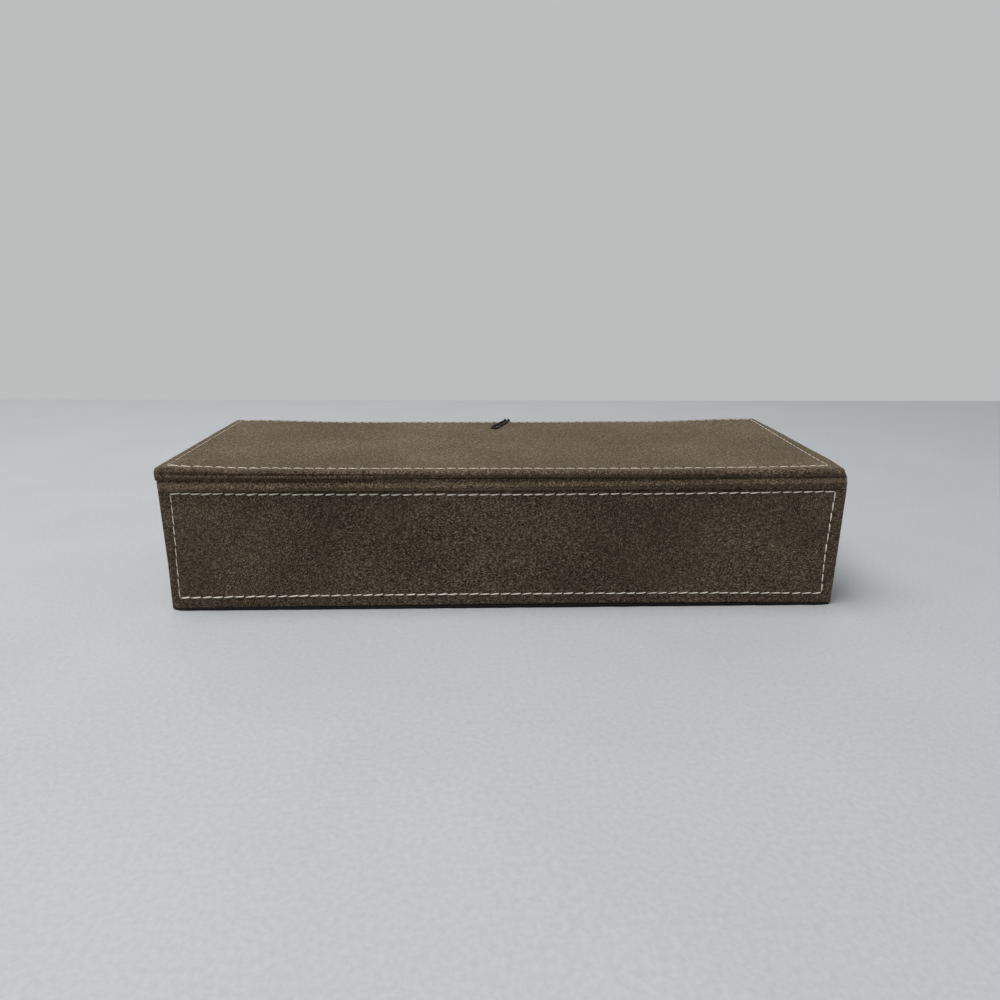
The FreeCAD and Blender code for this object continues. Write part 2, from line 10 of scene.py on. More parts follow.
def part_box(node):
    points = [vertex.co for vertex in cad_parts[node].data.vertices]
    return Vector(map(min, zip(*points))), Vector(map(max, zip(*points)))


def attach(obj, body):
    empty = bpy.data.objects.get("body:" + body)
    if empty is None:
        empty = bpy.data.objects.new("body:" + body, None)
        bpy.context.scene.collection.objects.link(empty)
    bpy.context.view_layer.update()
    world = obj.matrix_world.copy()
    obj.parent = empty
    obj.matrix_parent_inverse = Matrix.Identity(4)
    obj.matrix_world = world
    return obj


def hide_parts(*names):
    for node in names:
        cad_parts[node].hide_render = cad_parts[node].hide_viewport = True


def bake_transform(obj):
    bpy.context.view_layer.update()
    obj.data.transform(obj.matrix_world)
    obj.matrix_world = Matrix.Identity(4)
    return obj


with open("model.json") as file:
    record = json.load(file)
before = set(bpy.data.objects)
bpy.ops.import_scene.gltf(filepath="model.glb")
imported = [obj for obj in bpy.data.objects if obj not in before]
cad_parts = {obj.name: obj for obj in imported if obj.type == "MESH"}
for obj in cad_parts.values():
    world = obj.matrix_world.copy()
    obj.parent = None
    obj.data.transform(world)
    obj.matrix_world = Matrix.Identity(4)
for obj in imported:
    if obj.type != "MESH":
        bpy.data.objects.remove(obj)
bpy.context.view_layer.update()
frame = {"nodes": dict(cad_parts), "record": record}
mm = 0.001
near = 0.1 * mm  # a point this close to a face lies on it
scene = bpy.context.scene
scene.view_settings.view_transform = "Standard"


def lerp(a, b, t):
    return a + (b - a) * t


def easy(t):
    # 0 below 0, 1 above 1, and a soft curve between
    t = min(max(t, 0.0), 1.0)
    return t * t * (3 - 2 * t)


def ramp(value, span):
    # eases from 0 to 1 as the value passes a span of (start, width)
    start, width = span
    return easy((value - start) / width)


def bell(distance, width):
    return math.exp(-((distance / width) ** 2))


def wander(point, size, seed):
    # smooth noise from -1 to 1 with lumps of about that size
    return noise.noise(Vector(point) / size + Vector((seed * 7.3, seed * 3.1, seed * 5.7)))


def newObject(name, data):
    made = bpy.data.objects.new(name, data)
    scene.collection.objects.link(made)
    return made


def asMesh(name, bm):
    mesh = bpy.data.meshes.new(name)
    bm.to_mesh(mesh)
    bm.free()
    return mesh


cameraLook = {
    "location": (11.98 * mm, 315.8 * mm, 121.88 * mm), "yaw": 2.07, "pitch": 16.50,
    "roll": 0.40, "lens": 26.86,
}


def makeCamera():
    turned = Matrix.Identity(4)
    for angle, axis in ((180 - cameraLook["yaw"], "Z"), (90 - cameraLook["pitch"], "X"),
                        (cameraLook["roll"], "Z")):
        turned = turned @ Matrix.Rotation(math.radians(angle), 4, axis)
    data = bpy.data.cameras.new("camera")
    data.sensor_width = 36
    data.lens = cameraLook["lens"]
    data.clip_start = 0.01
    scene.camera = newObject("camera", data)
    scene.camera.matrix_world = Matrix.Translation(cameraLook["location"]) @ turned


makeCamera()


def feed(tree, socket, value):
    if isinstance(value, bpy.types.NodeSocket):
        tree.links.new(value, socket)
    else:
        socket.default_value = value


def addNode(tree, kind, **sockets):
    node = tree.nodes.new(kind)
    for name, value in sockets.items():
        feed(tree, node.inputs[name.replace("_", " ")], value)
    return node


def newFinish(name, **sockets):
    # a material, its tree, its shader and Object coordinates
    material = bpy.data.materials.new(name)
    material.use_nodes = True
    tree = material.node_tree
    shader = tree.nodes["Principled BSDF"]
    for key, value in sockets.items():
        shader.inputs[key.replace("_", " ")].default_value = value
    coordinates = tree.nodes.new("ShaderNodeTexCoord").outputs["Object"]
    return material, tree, shader, coordinates


def speckle(tree, vector, size, detail, roughness, distortion=0.0):
    # noise with lumps of about that size in metres
    node = addNode(tree, "ShaderNodeTexNoise", Vector=vector, Scale=1.0 / size, Detail=detail,
                   Roughness=roughness, Distortion=distortion)
    return node.outputs["Fac"]


def leaning(tree, vector, stretch, turn):
    # coordinates drawn out along one turned direction
    node = tree.nodes.new("ShaderNodeMapping")
    node.vector_type = "TEXTURE"
    feed(tree, node.inputs["Vector"], vector)
    feed(tree, node.inputs["Rotation"], [math.radians(angle) for angle in turn])
    feed(tree, node.inputs["Scale"], (1.0, 1.0, stretch))
    return node.outputs["Vector"]


def combine(tree, operation, a, b):
    node = tree.nodes.new("ShaderNodeMath")
    node.operation = operation
    feed(tree, node.inputs[0], a)
    feed(tree, node.inputs[1], b)
    return node.outputs["Value"]


def mixed(tree, parts):
    # the weighted sum of (weight, value) pairs
    total = None
    for weight, value in parts:
        term = combine(tree, "MULTIPLY", value, weight)
        total = term if total is None else combine(tree, "ADD", total, term)
    return total


def tinted(tree, factor, stops):
    node = addNode(tree, "ShaderNodeValToRGB", Fac=factor)
    elements = node.color_ramp.elements
    while len(elements) < len(stops):
        elements.new(0.5)
    for element, (where, colour) in zip(elements, stops):
        element.position = where
        element.color = (*colour, 1.0)
    return node.outputs["Color"]


def paint(tree, shader, look, tone, height):
    # the colour by tone and the bump by height
    tree.links.new(tinted(tree, tone, look["stops"]), shader.inputs["Base Color"])
    strength, distance = look["bump"]
    node = addNode(tree, "ShaderNodeBump", Height=height, Strength=strength, Distance=distance)
    tree.links.new(node.outputs["Normal"], shader.inputs["Normal"])


suedeLook = {
    "stops": [(0.37, (0.014, 0.010, 0.007)), (0.46, (0.052, 0.036, 0.024)),
              (0.54, (0.110, 0.080, 0.055)), (0.64, (0.270, 0.208, 0.152))],
    "patch": 40 * mm, "mottle": 1.3 * mm, "grain": 0.42 * mm, "nap": 0.26 * mm, "stretch": 1.8,
    "turn": (48, 38, 0),  # the nap leans one way here and another way there
    "otherTurn": (8, 82, 0), "change": 55 * mm,
    "moved": (0.9, 0.5, 0.3),  # picks the place of the lighter and darker patches
    "turning": (0.44, 0.56),  # how sharply one lean gives way to the other
    "tone": (0.11, 0.16, 0.58, 0.15),  # shares of patch, mottle, grain and nap
    "height": (0.22, 0.58, 0.20),  # shares of mottle, grain and nap
    "bump": (0.8, 0.42 * mm),
}


def suedeFinish():
    look = suedeLook
    material, tree, shader, place = newFinish("suede", Roughness=0.93, Specular_IOR_Level=0.08,
                                              Sheen_Weight=0.40, Sheen_Roughness=0.40,
                                              Sheen_Tint=(0.98, 0.86, 0.58, 1.0))
    moved = addNode(tree, "ShaderNodeMapping", Vector=place, Location=look["moved"])
    patch = speckle(tree, moved.outputs["Vector"], look["patch"], 1.5, 0.5)
    mottle = speckle(tree, place, look["mottle"], 1.0, 0.5, 0.3)
    nap = speckle(tree, place, look["nap"], 1.0, 0.5)
    strokes = []
    for turn in (look["turn"], look["otherTurn"]):
        drawnOut = leaning(tree, place, look["stretch"], turn)
        strokes.append(speckle(tree, drawnOut, look["grain"], 1.0, 0.5, 0.5))
    lowest, highest = look["turning"]
    where = speckle(tree, place, look["change"], 1.0, 0.5)
    change = addNode(tree, "ShaderNodeMapRange", Value=where, From_Min=lowest, From_Max=highest)
    blend = tree.nodes.new("ShaderNodeMix")
    for socket, value in zip(blend.inputs, (change.outputs["Result"], None, *strokes)):
        if value:
            tree.links.new(value, socket)
    grain = blend.outputs["Result"]
    tone = mixed(tree, zip(look["tone"], (patch, mottle, grain, nap)))
    height = mixed(tree, zip(look["height"], (mottle, grain, nap)))
    paint(tree, shader, look, tone, height)
    return material


velourLook = {
    "stops": [(0.34, (0.100, 0.083, 0.062)), (0.50, (0.160, 0.136, 0.105)),
              (0.66, (0.230, 0.200, 0.160))],
    "patch": 13 * mm, "pile": 0.45 * mm,
    "tone": (0.55, 0.45),  # shares of patch and pile
    "bump": (0.45, 0.25 * mm),
}


def velourFinish(name, lift):
    stops = [(where, [part * lift for part in colour]) for where, colour in velourLook["stops"]]
    look = {**velourLook, "stops": stops}
    material, tree, shader, place = newFinish(name, Roughness=0.95, Specular_IOR_Level=0.12,
                                              Sheen_Weight=0.45, Sheen_Roughness=0.4,
                                              Sheen_Tint=(0.95, 0.90, 0.82, 1.0))
    patch = speckle(tree, place, look["patch"], 3.0, 0.55, 0.8)
    pile = speckle(tree, place, look["pile"], 2.0, 0.6)
    paint(tree, shader, look, mixed(tree, zip(look["tone"], (patch, pile))), pile)
    return material


threadLook = {
    "stops": [(0.33, (0.56, 0.50, 0.42)), (0.50, (0.84, 0.77, 0.67)), (0.68, (0.95, 0.90, 0.82))],
    "fibre": 0.3 * mm, "soil": 9 * mm,
    "plyTurns": 2.6,  # turns of the two plies along one stitch
    "tone": (0.35, 0.45, 0.10, 0.10),  # shares of fibre, soil, ridge (painted shade in the grooves between the plies, lighter on their crests) and an even grey
    "height": (0.3, 0.7),  # shares of fibre and ridge
    "bump": (0.7, 0.12 * mm),
}


def threadFinish():
    look = threadLook
    material, tree, shader, place = newFinish("thread", Roughness=0.6, Specular_IOR_Level=0.35)
    fibre = speckle(tree, place, look["fibre"], 2.0, 0.6)
    soil = speckle(tree, place, look["soil"], 2.0, 0.5)
    ply = tree.nodes.new("ShaderNodeAttribute")
    ply.attribute_name = "ply"
    wave = combine(tree, "SINE", ply.outputs["Fac"], 0.0)
    ridge = combine(tree, "MULTIPLY_ADD", wave, 0.5)
    # the ridge in the colour is painted shade: darker in the grooves between the twisted plies,
    # lighter on their crests
    tone = mixed(tree, zip(look["tone"], (fibre, soil, ridge, 0.5)))
    height = mixed(tree, zip(look["height"], (fibre, ridge)))
    paint(tree, shader, look, tone, height)
    return material


plainLooks = {
    "cord": {
        "stops": [(0.35, (0.006, 0.004, 0.002)), (0.65, (0.021, 0.014, 0.006))],
        "surface": {"Roughness": 0.6, "Specular_IOR_Level": 0.2},
        "grain": (0.9 * mm, 3.0, 0.6), "bump": (0.4, 0.1 * mm),
    },
    "board": {
        "stops": [(0.36, (0.150, 0.122, 0.088)), (0.64, (0.260, 0.215, 0.155))],
        "surface": {"Roughness": 0.85, "Specular_IOR_Level": 0.25},
        "grain": (1.1 * mm, 4.0, 0.65), "cloud": (14 * mm, 2.0, 0.5),
        "tone": (0.6, 0.4),  # shares of grain and cloud
        "bump": (0.3, 0.12 * mm),
    },
    "felt": {
        "stops": [(0.32, (0.030, 0.026, 0.020)), (0.68, (0.080, 0.070, 0.056))],
        "surface": {"Roughness": 0.95, "Specular_IOR_Level": 0.12},
        "lean": (3.0, (60, 20, 0)),  # how far the fibres are drawn out, and which way
        "grain": (0.5 * mm, 4.0, 0.7), "bump": (0.6, 0.3 * mm),
    },
    "baseSheet": {
        "stops": [(0.34, (0.005, 0.005, 0.005)), (0.66, (0.015, 0.014, 0.014))],
        "surface": {"Roughness": 0.9, "Specular_IOR_Level": 0.1},
        "grain": (0.7 * mm, 3.0, 0.6), "bump": (0.4, 0.2 * mm),
    },
    "floorLaminate": {
        "stops": [(place, Vector((0.455, 0.475, 0.498)) * share)
                  for place, share in ((0.35, 0.95), (0.65, 1.05))],
        "surface": {"Roughness": 0.55, "Specular_IOR_Level": 0.3},
        "grain": (1.6 * mm, 2.0, 0.6), "cloud": (60 * mm, 2.0, 0.5), "tone": (0.7, 0.3),
        "bump": (0.15, 0.2 * mm),
    },
}


def plainFinish(name):
    look = plainLooks[name]
    material, tree, shader, place = newFinish(name, **look["surface"])
    if "lean" in look:
        place = leaning(tree, place, *look["lean"])
    tone = grain = speckle(tree, place, *look["grain"])
    if "cloud" in look:
        tone = mixed(tree, zip(look["tone"], (grain, speckle(tree, place, *look["cloud"]))))
    paint(tree, shader, look, tone, grain)
    return material


finishes = {
    "suede": suedeFinish(), "velour": velourFinish("velour", 1.0),
    "cushion": velourFinish("cushionVelour", 1.12), "thread": threadFinish(),
    "cord": plainFinish("cord"), "board": plainFinish("board"), "felt": plainFinish("felt"),
    "base_sheet": plainFinish("baseSheet"),
}
for part in frame["record"]["subparts"]:
    node = frame["nodes"][part["node"]]
    node.data.materials.clear()
    node.data.materials.append(finishes[part["material_slot"]])
print("finishes made")


def keepPiece(name, bm, slot, body, replaced):
    # the finished bmesh becomes an object that rides on a body
    mesh = asMesh(name, bm)
    mesh.shade_smooth()
    mesh.materials.append(finishes[slot])
    piece = newObject(name, mesh)
    if body:
        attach(piece, body)
    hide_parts(*replaced)
    return piece


def newBlock(low, high):
    low, high = Vector(low), Vector(high)
    where = Matrix.Translation((low + high) / 2) @ Matrix.Diagonal((*(high - low), 1.0))
    bm = bmesh.new()
    bmesh.ops.create_cube(bm, size=1.0, matrix=where)
    return bm


def cutAcross(bm, axis, levels):
    # rings of edges at each level of an axis
    normal = Vector([1.0 if side == axis else 0.0 for side in range(3)])
    for level in levels:
        everything = bm.verts[:] + bm.edges[:] + bm.faces[:]
        bmesh.ops.bisect_plane(bm, geom=everything, dist=1e-7, plane_co=normal * level,
                               plane_no=normal)


def cutEvenly(bm, axis, low, high, step):
    start, end = low[axis], high[axis]
    count = max(1, round((end - start) / step))
    cutAcross(bm, axis, [lerp(start, end, turn / count) for turn in range(1, count)])


def openFaces(bm, unwanted):
    # takes away the faces that look in an unwanted direction
    bm.normal_update()
    doomed = [face for face in bm.faces if unwanted(face.normal)]
    bmesh.ops.delete(bm, geom=doomed, context="FACES")


def roundEdges(bm, width, segments, wanted=None):
    edges = [edge for edge in bm.edges if edge.is_manifold and (wanted is None or wanted(edge))]
    bmesh.ops.bevel(bm, geom=edges, offset=width, offset_type="OFFSET", segments=segments,
                    profile=0.5, affect="EDGES", material=-1, clamp_overlap=True)


def thicken(piece, thickness):
    # the sheet's thickness, inwards from its outer face
    modifier = piece.modifiers.new("thickness", "SOLIDIFY")
    modifier.thickness = thickness
    modifier.offset = -1.0


def ripple(bm, amount, size, seed, keepOut=None):
    # small unevenness along the normals
    bm.normal_update()
    for vert in bm.verts:
        if keepOut is None or not keepOut(vert.co):
            vert.co += vert.normal * wander(vert.co, size, seed) * amount


def cutLongSides(bm, low, high, step):
    # rings of edges along each side that is longer than two steps
    for axis in range(3):
        if high[axis] - low[axis] > 2 * step:
            cutEvenly(bm, axis, low, high, step)


def softBlock(name, node, slot, body, look, seed):
    # a covered board or strip: rounded edges and slightly uneven faces
    low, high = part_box(node)
    bm = newBlock(low, high)
    roundEdges(bm, look["round"], 3)
    cutLongSides(bm, low, high, look["step"])
    ripple(bm, look["wave"], 9 * mm, seed)
    keepPiece(name, bm, slot, body, [node])


stitchLook = {
    "pitch": 4.04 * mm, "length": 3.98 * mm, "width": 0.54 * mm, "height": 0.46 * mm,
    "taper": 0.30,  # the thread thins towards one end
    "sink": 0.20 * mm,  # how far a stitch pulls the suede in
    "groove": 0.65 * mm,  # half width of the pulled line
    "slant": 5.0,  # degrees
    "slantMore": 3.0,
    "upright": 0.7,  # share of the slant that upright rows lose
    "lift": 0.05 * mm,
    "strayAlong": 0.16,  # millimetres
    "strayAside": 0.07, "lengths": (0.90, 1.04), "widths": (0.9, 1.1),
    "swell": 0.25,  # the thread is fuller towards its ends
    "dip": 1.4,  # how deep its ends go
    "holes": 0.28,  # how much deeper the groove is at a hole
    "rings": (-2.0, -1.2, -0.6, 0.0, 0.6, 1.2, 2.0),  # beside a row, in half widths
    "skin": 0.5 * mm, "bowShape": 2.4, "sideShape": 0.8,
    "sideReach": 14 * mm,  # how far an upright row's shift is felt inside
    "edgeReach": 3.2 * mm,  # and outside
}


def panelOn(node, look, across, up, out, sign):
    # a stitched panel's look and place, with its rows where the CAD stitches are
    low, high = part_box(node + "_cover")
    first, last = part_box(node + "_stitching")
    half = 0.35 * mm  # half the width of a CAD stitch
    lines = (first[across] + half, last[across] - half, first[up] + half, last[up] - half)
    return {**look, "node": node, "low": low, "high": high, "across": across, "up": up, "out": out,
            "sign": sign, "face": high[out] if sign > 0 else low[out], "lines": lines}


def panelFrame(panel):
    # unit vectors across, up and out of a panel
    vectors = []
    for axis, sign in ((panel["across"], 1), (panel["up"], 1), (panel["out"], panel["sign"])):
        vectors.append(Vector([sign if side == axis else 0.0 for side in range(3)]))
    return vectors


def bowAt(panel, a, b):
    # the rows of stitches bend a little towards the panel's middle
    a0, a1, b0, b1 = panel["lines"]
    along = min(max((a - a0) / (a1 - a0), 0.0), 1.0)
    arch = 1 - abs(2 * along - 1) ** stitchLook["bowShape"]
    middle = (b0 + b1) / 2
    highEdge = panel["high"][panel["up"]]
    if b > middle:
        weight = (b - middle) / (b1 - middle) if b < b1 else (highEdge - b) / (highEdge - b1)
        return -panel["topBow"] * arch * max(weight, 0.0)
    weight = (middle - b) / (middle - b0) if b > b0 else 1.0
    return panel["lowBow"] * arch * max(weight, 0.0)


def driftAt(panel, a, b):
    # the last upright row leans in at its top, and both bow in towards each other
    a0, a1, b0, b1 = panel["lines"]
    up = min(max((b - b0) / (b1 - b0), 0.0), 1.0)
    reach = stitchLook["sideReach"]
    first, last = easy((a0 + reach - a) / reach), easy((a - a1 + reach) / reach)
    firstBow, lastBow = panel.get("sideBow", (0.0, 0.0))
    bow = math.sin(math.pi * up ** stitchLook["sideShape"])
    firstShift = firstBow * bow + lerp(*panel.get("skew", (0.0, 0.0)), up)
    return first * firstShift - last * (panel.get("drift", 0.0) * easy(up) + lastBow * bow)


def rowLevels(panel, axis):
    # edge rings for one axis: every half stitch, and close together at the two rows
    a0, a1, b0, b1 = panel["lines"]
    first, last = (a0, a1) if axis == panel["across"] else (b0, b1)
    count = 2 * max(1, round((last - first) / stitchLook["pitch"]))
    levels = [lerp(first, last, turn / count) for turn in range(1, count)]
    for row in (first, last):
        levels += [row + offset * stitchLook["groove"] for offset in stitchLook["rings"]]
    return sorted(levels)


def pullRows(bm, panel):
    # grooves where the thread pulls the suede in, deepest at the needle holes
    a0, a1, b0, b1 = panel["lines"]
    across, up, out, sign = panel["across"], panel["up"], panel["out"], panel["sign"]
    face = panel["face"] * sign
    width, holes, edge = stitchLook["groove"], stitchLook["holes"], stitchLook["edgeReach"]
    for vert in bm.verts:
        if vert.co[out] * sign < face - stitchLook["skin"]:
            continue
        a, b = vert.co[across], vert.co[up]
        depth = 0.0
        for first, last, here, rows, there in ((a0, a1, a, (b0, b1), b), (b0, b1, b, (a0, a1), a)):
            beyond = max(first - here, here - last, 0.0)
            count = round((last - first) / stitchLook["pitch"])
            turn = (here - first) / (last - first) * count
            hole = 1 - holes + holes * math.cos(2 * math.pi * turn)
            nearest = min(abs(there - row) for row in rows)
            depth = max(depth, hole * bell(nearest, width) * bell(beyond, width))
        vert.co[out] -= sign * depth * stitchLook["sink"]
        vert.co[up] += bowAt(panel, a, b)
        if a < a1 + 1 * mm:
            vert.co[across] += driftAt(panel, a, b) * easy((a - a0 + edge) / edge)


def stitchShape():
    # one stitch along X: a plump bead of thread whose ends dip into their holes
    look = stitchLook
    bm = bmesh.new()
    bmesh.ops.create_uvsphere(bm, u_segments=8, v_segments=6, radius=1.0)
    bmesh.ops.rotate(bm, verts=bm.verts, matrix=Matrix.Rotation(math.pi / 2, 3, "Y"))
    ply = bm.verts.layers.float.new("ply")
    for vert in bm.verts:
        reach = abs(vert.co.x)
        angle = math.atan2(vert.co.y, vert.co.z)
        vert[ply] = 2 * angle + vert.co.x * math.pi * threadLook["plyTurns"]
        fuller = (1 + look["swell"] * reach ** 2) * (1 - look["taper"] * vert.co.x)
        vert.co.y *= fuller
        vert.co.z = vert.co.z * fuller - look["dip"] * reach ** 4
    return asMesh("stitchShape", bm)


oneStitch = stitchShape()


def plumpAt(panel, middle):
    # thickness of the thread: in the side rows, in the front row and along the others
    if "plump" not in panel:
        return 1.0
    if abs(middle.x) > panel["sideRows"]:
        return panel["sidePlump"][1 if middle.x > 0 else 0]
    if "frontPlump" in panel and middle.y <= 0:
        return panel["frontPlump"]
    return lerp(*panel["plump"], ramp(middle.x, panel["plumpAlong"]))


def sewRow(bm, panel, start, end, chance):
    look = stitchLook
    across, up, out = panelFrame(panel)
    run = end - start
    count = max(1, round(run.length / look["pitch"]))
    along = run.normalized()
    aside = out.cross(along)

    def stray(most):
        return chance.uniform(-most, most)

    for place in range(count):
        middle = start + run * ((place + 0.5) / count)
        middle += along * stray(look["strayAlong"]) * mm + aside * stray(look["strayAside"]) * mm
        a, b = middle[panel["across"]], middle[panel["up"]]
        shift = up * bowAt(panel, a, b) + across * driftAt(panel, a, b)
        lean = math.radians(look["slant"] + stray(look["slantMore"])) * panel.get("lean", 1)
        lean *= 1 - look["upright"] * abs(along.dot(up))
        plump = plumpAt(panel, middle)
        size = Vector((look["length"] * chance.uniform(*look["lengths"]),
                       look["width"] * plump * chance.uniform(*look["widths"]),
                       look["height"] * plump * chance.uniform(*look["widths"])))
        turned = Matrix((along, aside, out)).transposed() @ Matrix.Rotation(lean, 3, "Z")
        where = Matrix.Translation(middle + shift + out * look["lift"]) @ turned.to_4x4()
        where = where @ Matrix.Diagonal((*(size / 2), 1))
        before = len(bm.verts)
        bm.from_mesh(oneStitch)
        bm.verts.ensure_lookup_table()
        bmesh.ops.transform(bm, matrix=where, verts=bm.verts[before:])


def openSheet(panel, unwanted):
    # a box without its unwanted faces, rounded and drawn in by its thread
    low, high = panel["low"], panel["high"]
    bm = newBlock(low, high)
    openFaces(bm, unwanted)
    roundEdges(bm, panel["round"], 4)
    for axis in (panel["across"], panel["up"]):
        cutAcross(bm, axis, rowLevels(panel, axis))
    cutEvenly(bm, panel["out"], low, high, panel["step"])
    pullRows(bm, panel)
    return bm


def dressPanel(panel, name, body, suede, seed, settle=None):
    # keeps the panel's suede and sews four rows of stitches round it
    piece = keepPiece(name + "Suede", suede, "suede", body, [panel["node"] + "_cover"])
    if "thickness" in panel:
        thicken(piece, panel["thickness"])
    chance = random.Random(seed)
    a0, a1, b0, b1 = panel["lines"]
    across, up, out = panelFrame(panel)
    level = out * panel["face"] * panel["sign"]
    corners = [across * a + up * b + level for a, b in ((a0, b0), (a1, b0), (a1, b1), (a0, b1))]
    bm = bmesh.new()
    bm.verts.layers.float.new("ply")
    for turn in range(4):
        sewRow(bm, panel, corners[turn], corners[(turn + 1) % 4], chance)
    if settle:
        for vert in bm.verts:
            vert.co = settle(vert.co)
    keepPiece(name + "Stitches", bm, "thread", body, [panel["node"] + "_stitching"])


# the routes are in millimetres from their origins
liftLoopLook = {
    "diameter": 1.1 * mm, "length": 66.9 * mm, "origin": (0, -50.5, 52.85),
    "route": [(-6.3, 4.5, -0.3), (-6.3, 1.3, -0.8), (-5.95, -2.5, -1.35), (-5.4, -2.5, 1.85),
              (-4.9, 0.9, 1.75), (-4.6, 3.0, 1.7), (-3.9, 5.9, 1.7), (-2.5, 9.7, 1.7),
              (-0.8, 13.4, 1.7), (0.4, 16.9, 1.7), (0.75, 19.8, 1.7), (2.15, 20.7, 1.7),
              (3.55, 19.8, 1.7), (3.3, 16.6, 1.7), (1.8, 13.0, 1.7), (0.0, 8.8, 1.7),
              (-1.5, 4.9, 1.7), (-2.7, 2.5, 1.7), (-3.3, 0.7, 1.75), (-3.8, -2.5, 1.85),
              (-4.15, -2.5, -1.35), (-4.5, 1.3, -0.8), (-4.5, 4.5, -0.3)],
}
drawerLoopLook = {
    "diameter": 1.1 * mm, "length": 39.7 * mm, "origin": (0, -50.1, 16.2),
    "route": [(-2.0, 2.1, 0), (-2.0, -2.1, 0), (-2.6, -3.3, -3.2), (-3.9, -3.1, -7.6),
              (-3.4, -2.5, -12.1), (-0.7, -2.2, -14.3), (2.2, -2.4, -13.1), (3.4, -2.9, -8.8),
              (2.9, -3.4, -4.0), (2.0, -2.4, 0), (2.0, 2.1, 0)],
}


def makeCord(name, look, body, node):
    data = bpy.data.curves.new(name, "CURVE")
    data.dimensions = "3D"
    data.resolution_u = 10
    data.bevel_depth = look["diameter"] / 2
    data.bevel_resolution = 4
    data.use_fill_caps = True
    spline = data.splines.new("NURBS")
    spline.points.add(len(look["route"]) - 1)
    origin = Vector(look["origin"])
    for point, offset in zip(spline.points, look["route"]):
        point.co = (*((origin + Vector(offset)) * mm), 1.0)
    spline.order_u = 3
    spline.use_endpoint_u = True
    spline.use_smooth = True
    data.materials.append(finishes["cord"])
    piece = newObject(name, data)
    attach(piece, body)
    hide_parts(node)


makeCord("liftLoop", liftLoopLook, "lid", "lift_loop")
makeCord("drawerLoop", drawerLoopLook, "drawer", "drawer_loop")
print("cords laid")


# pairs of values are for the -X side and the +X side; spans are (start, width)
backLook = {
    "round": 0.7 * mm, "wave": 0.16 * mm, "lumps": 15 * mm, "sunk": 0.06 * mm,
    "rowLift": 0.2 * mm,  # of the lowest row
    "rings": (0.15 * mm, 0.5 * mm),  # they keep the lower edge crisp
    "flare": (1.3 * mm, 0.35 * mm),
    "flareLow": (0.85, -0.7),  # its share at the lower edge
    "flareHeight": (38 * mm, 45 * mm), "flareAcross": (121 * mm, 6 * mm),
    "flareBack": (15 * mm, 32 * mm),
    "hang": (0.30 * mm, 0.70 * mm), "hangAlong": (-30 * mm, 90 * mm),
    "plump": (0.90, 1.12),  # of the thread
    "plumpAlong": (-60 * mm, 120 * mm), "sidePlump": (0.90, 0.68), "sideRows": 123 * mm,
    "topBow": 0.75 * mm, "lowBow": 0.7 * mm, "drift": 1.1 * mm, "sideBow": (0.6 * mm, 0.1 * mm),
}


def flare(point):
    # how far the suede stands off its board at the two back corners
    look = backLook
    end = 0 if point.x < 0 else 1
    edge = ramp(abs(point.x), look["flareAcross"]) * ramp(point.y, look["flareBack"])
    level = point.z / look["flareHeight"][end]
    height = lerp(look["flareLow"][end], 1.0, level if end else easy(level))
    return math.copysign(look["flare"][end] * edge * height, point.x)


def hang(point):
    # how far the back's lower edge hangs over the black sheet
    return lerp(*backLook["hang"], ramp(point.x, backLook["hangAlong"]))


def backPanel():
    panel = panelOn("back", backLook, 0, 2, 1, 1)
    low, high = panel["low"], panel["high"]
    a0, a1, b0, b1 = panel["lines"]
    panel["lines"] = (a0, a1, b0 + panel["rowLift"], b1)
    bm = newBlock(low, high)
    roundEdges(bm, panel["round"], 3,
               lambda edge: min(vert.co.y for vert in edge.verts) > high.y - near
               and max(vert.co.z for vert in edge.verts) > low.z + near)
    cutAcross(bm, 0, rowLevels(panel, 0))
    cutAcross(bm, 2, rowLevels(panel, 2) + [low.z + ring for ring in panel["rings"]])
    pullRows(bm, panel)
    for vert in bm.verts:
        if vert.co.y > high.y - 0.6 * mm:
            vert.co.y += wander(vert.co, panel["lumps"], 1) * panel["wave"] - panel["sunk"]
        vert.co.x += flare(vert.co)
        if vert.co.z < low.z + 1 * mm:
            vert.co.z -= hang(vert.co)
    dressPanel(panel, "back", "case", bm, 11)


sideLook = {"round": 0.8 * mm, "wave": 0.16 * mm, "lumps": 15 * mm, "step": 1.5 * mm,
            "thickness": 0.9 * mm, "topBow": 0.3 * mm, "lowBow": 0.2 * mm}


def sidePanel(name, side, seed):
    panel = panelOn(name, sideLook, 1, 2, 0, side)
    bm = openSheet(panel, lambda normal: max(-normal.x * side, normal.y, -normal.z) > 0.5)
    ripple(bm, panel["wave"], panel["lumps"], seed)
    for vert in bm.verts:
        vert.co.x = side * min(vert.co.x * side, panel["face"] * side) + flare(vert.co)
    dressPanel(panel, name, "case", bm, seed + 20,
               lambda point: Vector((point.x + flare(point), point.y, point.z)))


railLook = {"round": 0.8 * mm, "wave": 0.12 * mm, "lumps": 15 * mm, "step": 1.5 * mm,
            "thickness": 0.9 * mm, "topBow": 0.25 * mm, "lowBow": 0.2 * mm}


def railPanel():
    panel = panelOn("front_rail", railLook, 0, 2, 1, -1)
    bm = openSheet(panel, lambda normal: max(normal.y, -normal.z, abs(normal.x)) > 0.5)
    ripple(bm, panel["wave"], panel["lumps"], 5,
           lambda point: point.y > panel["face"] + panel["thickness"])
    dressPanel(panel, "rail", "case", bm, 31)


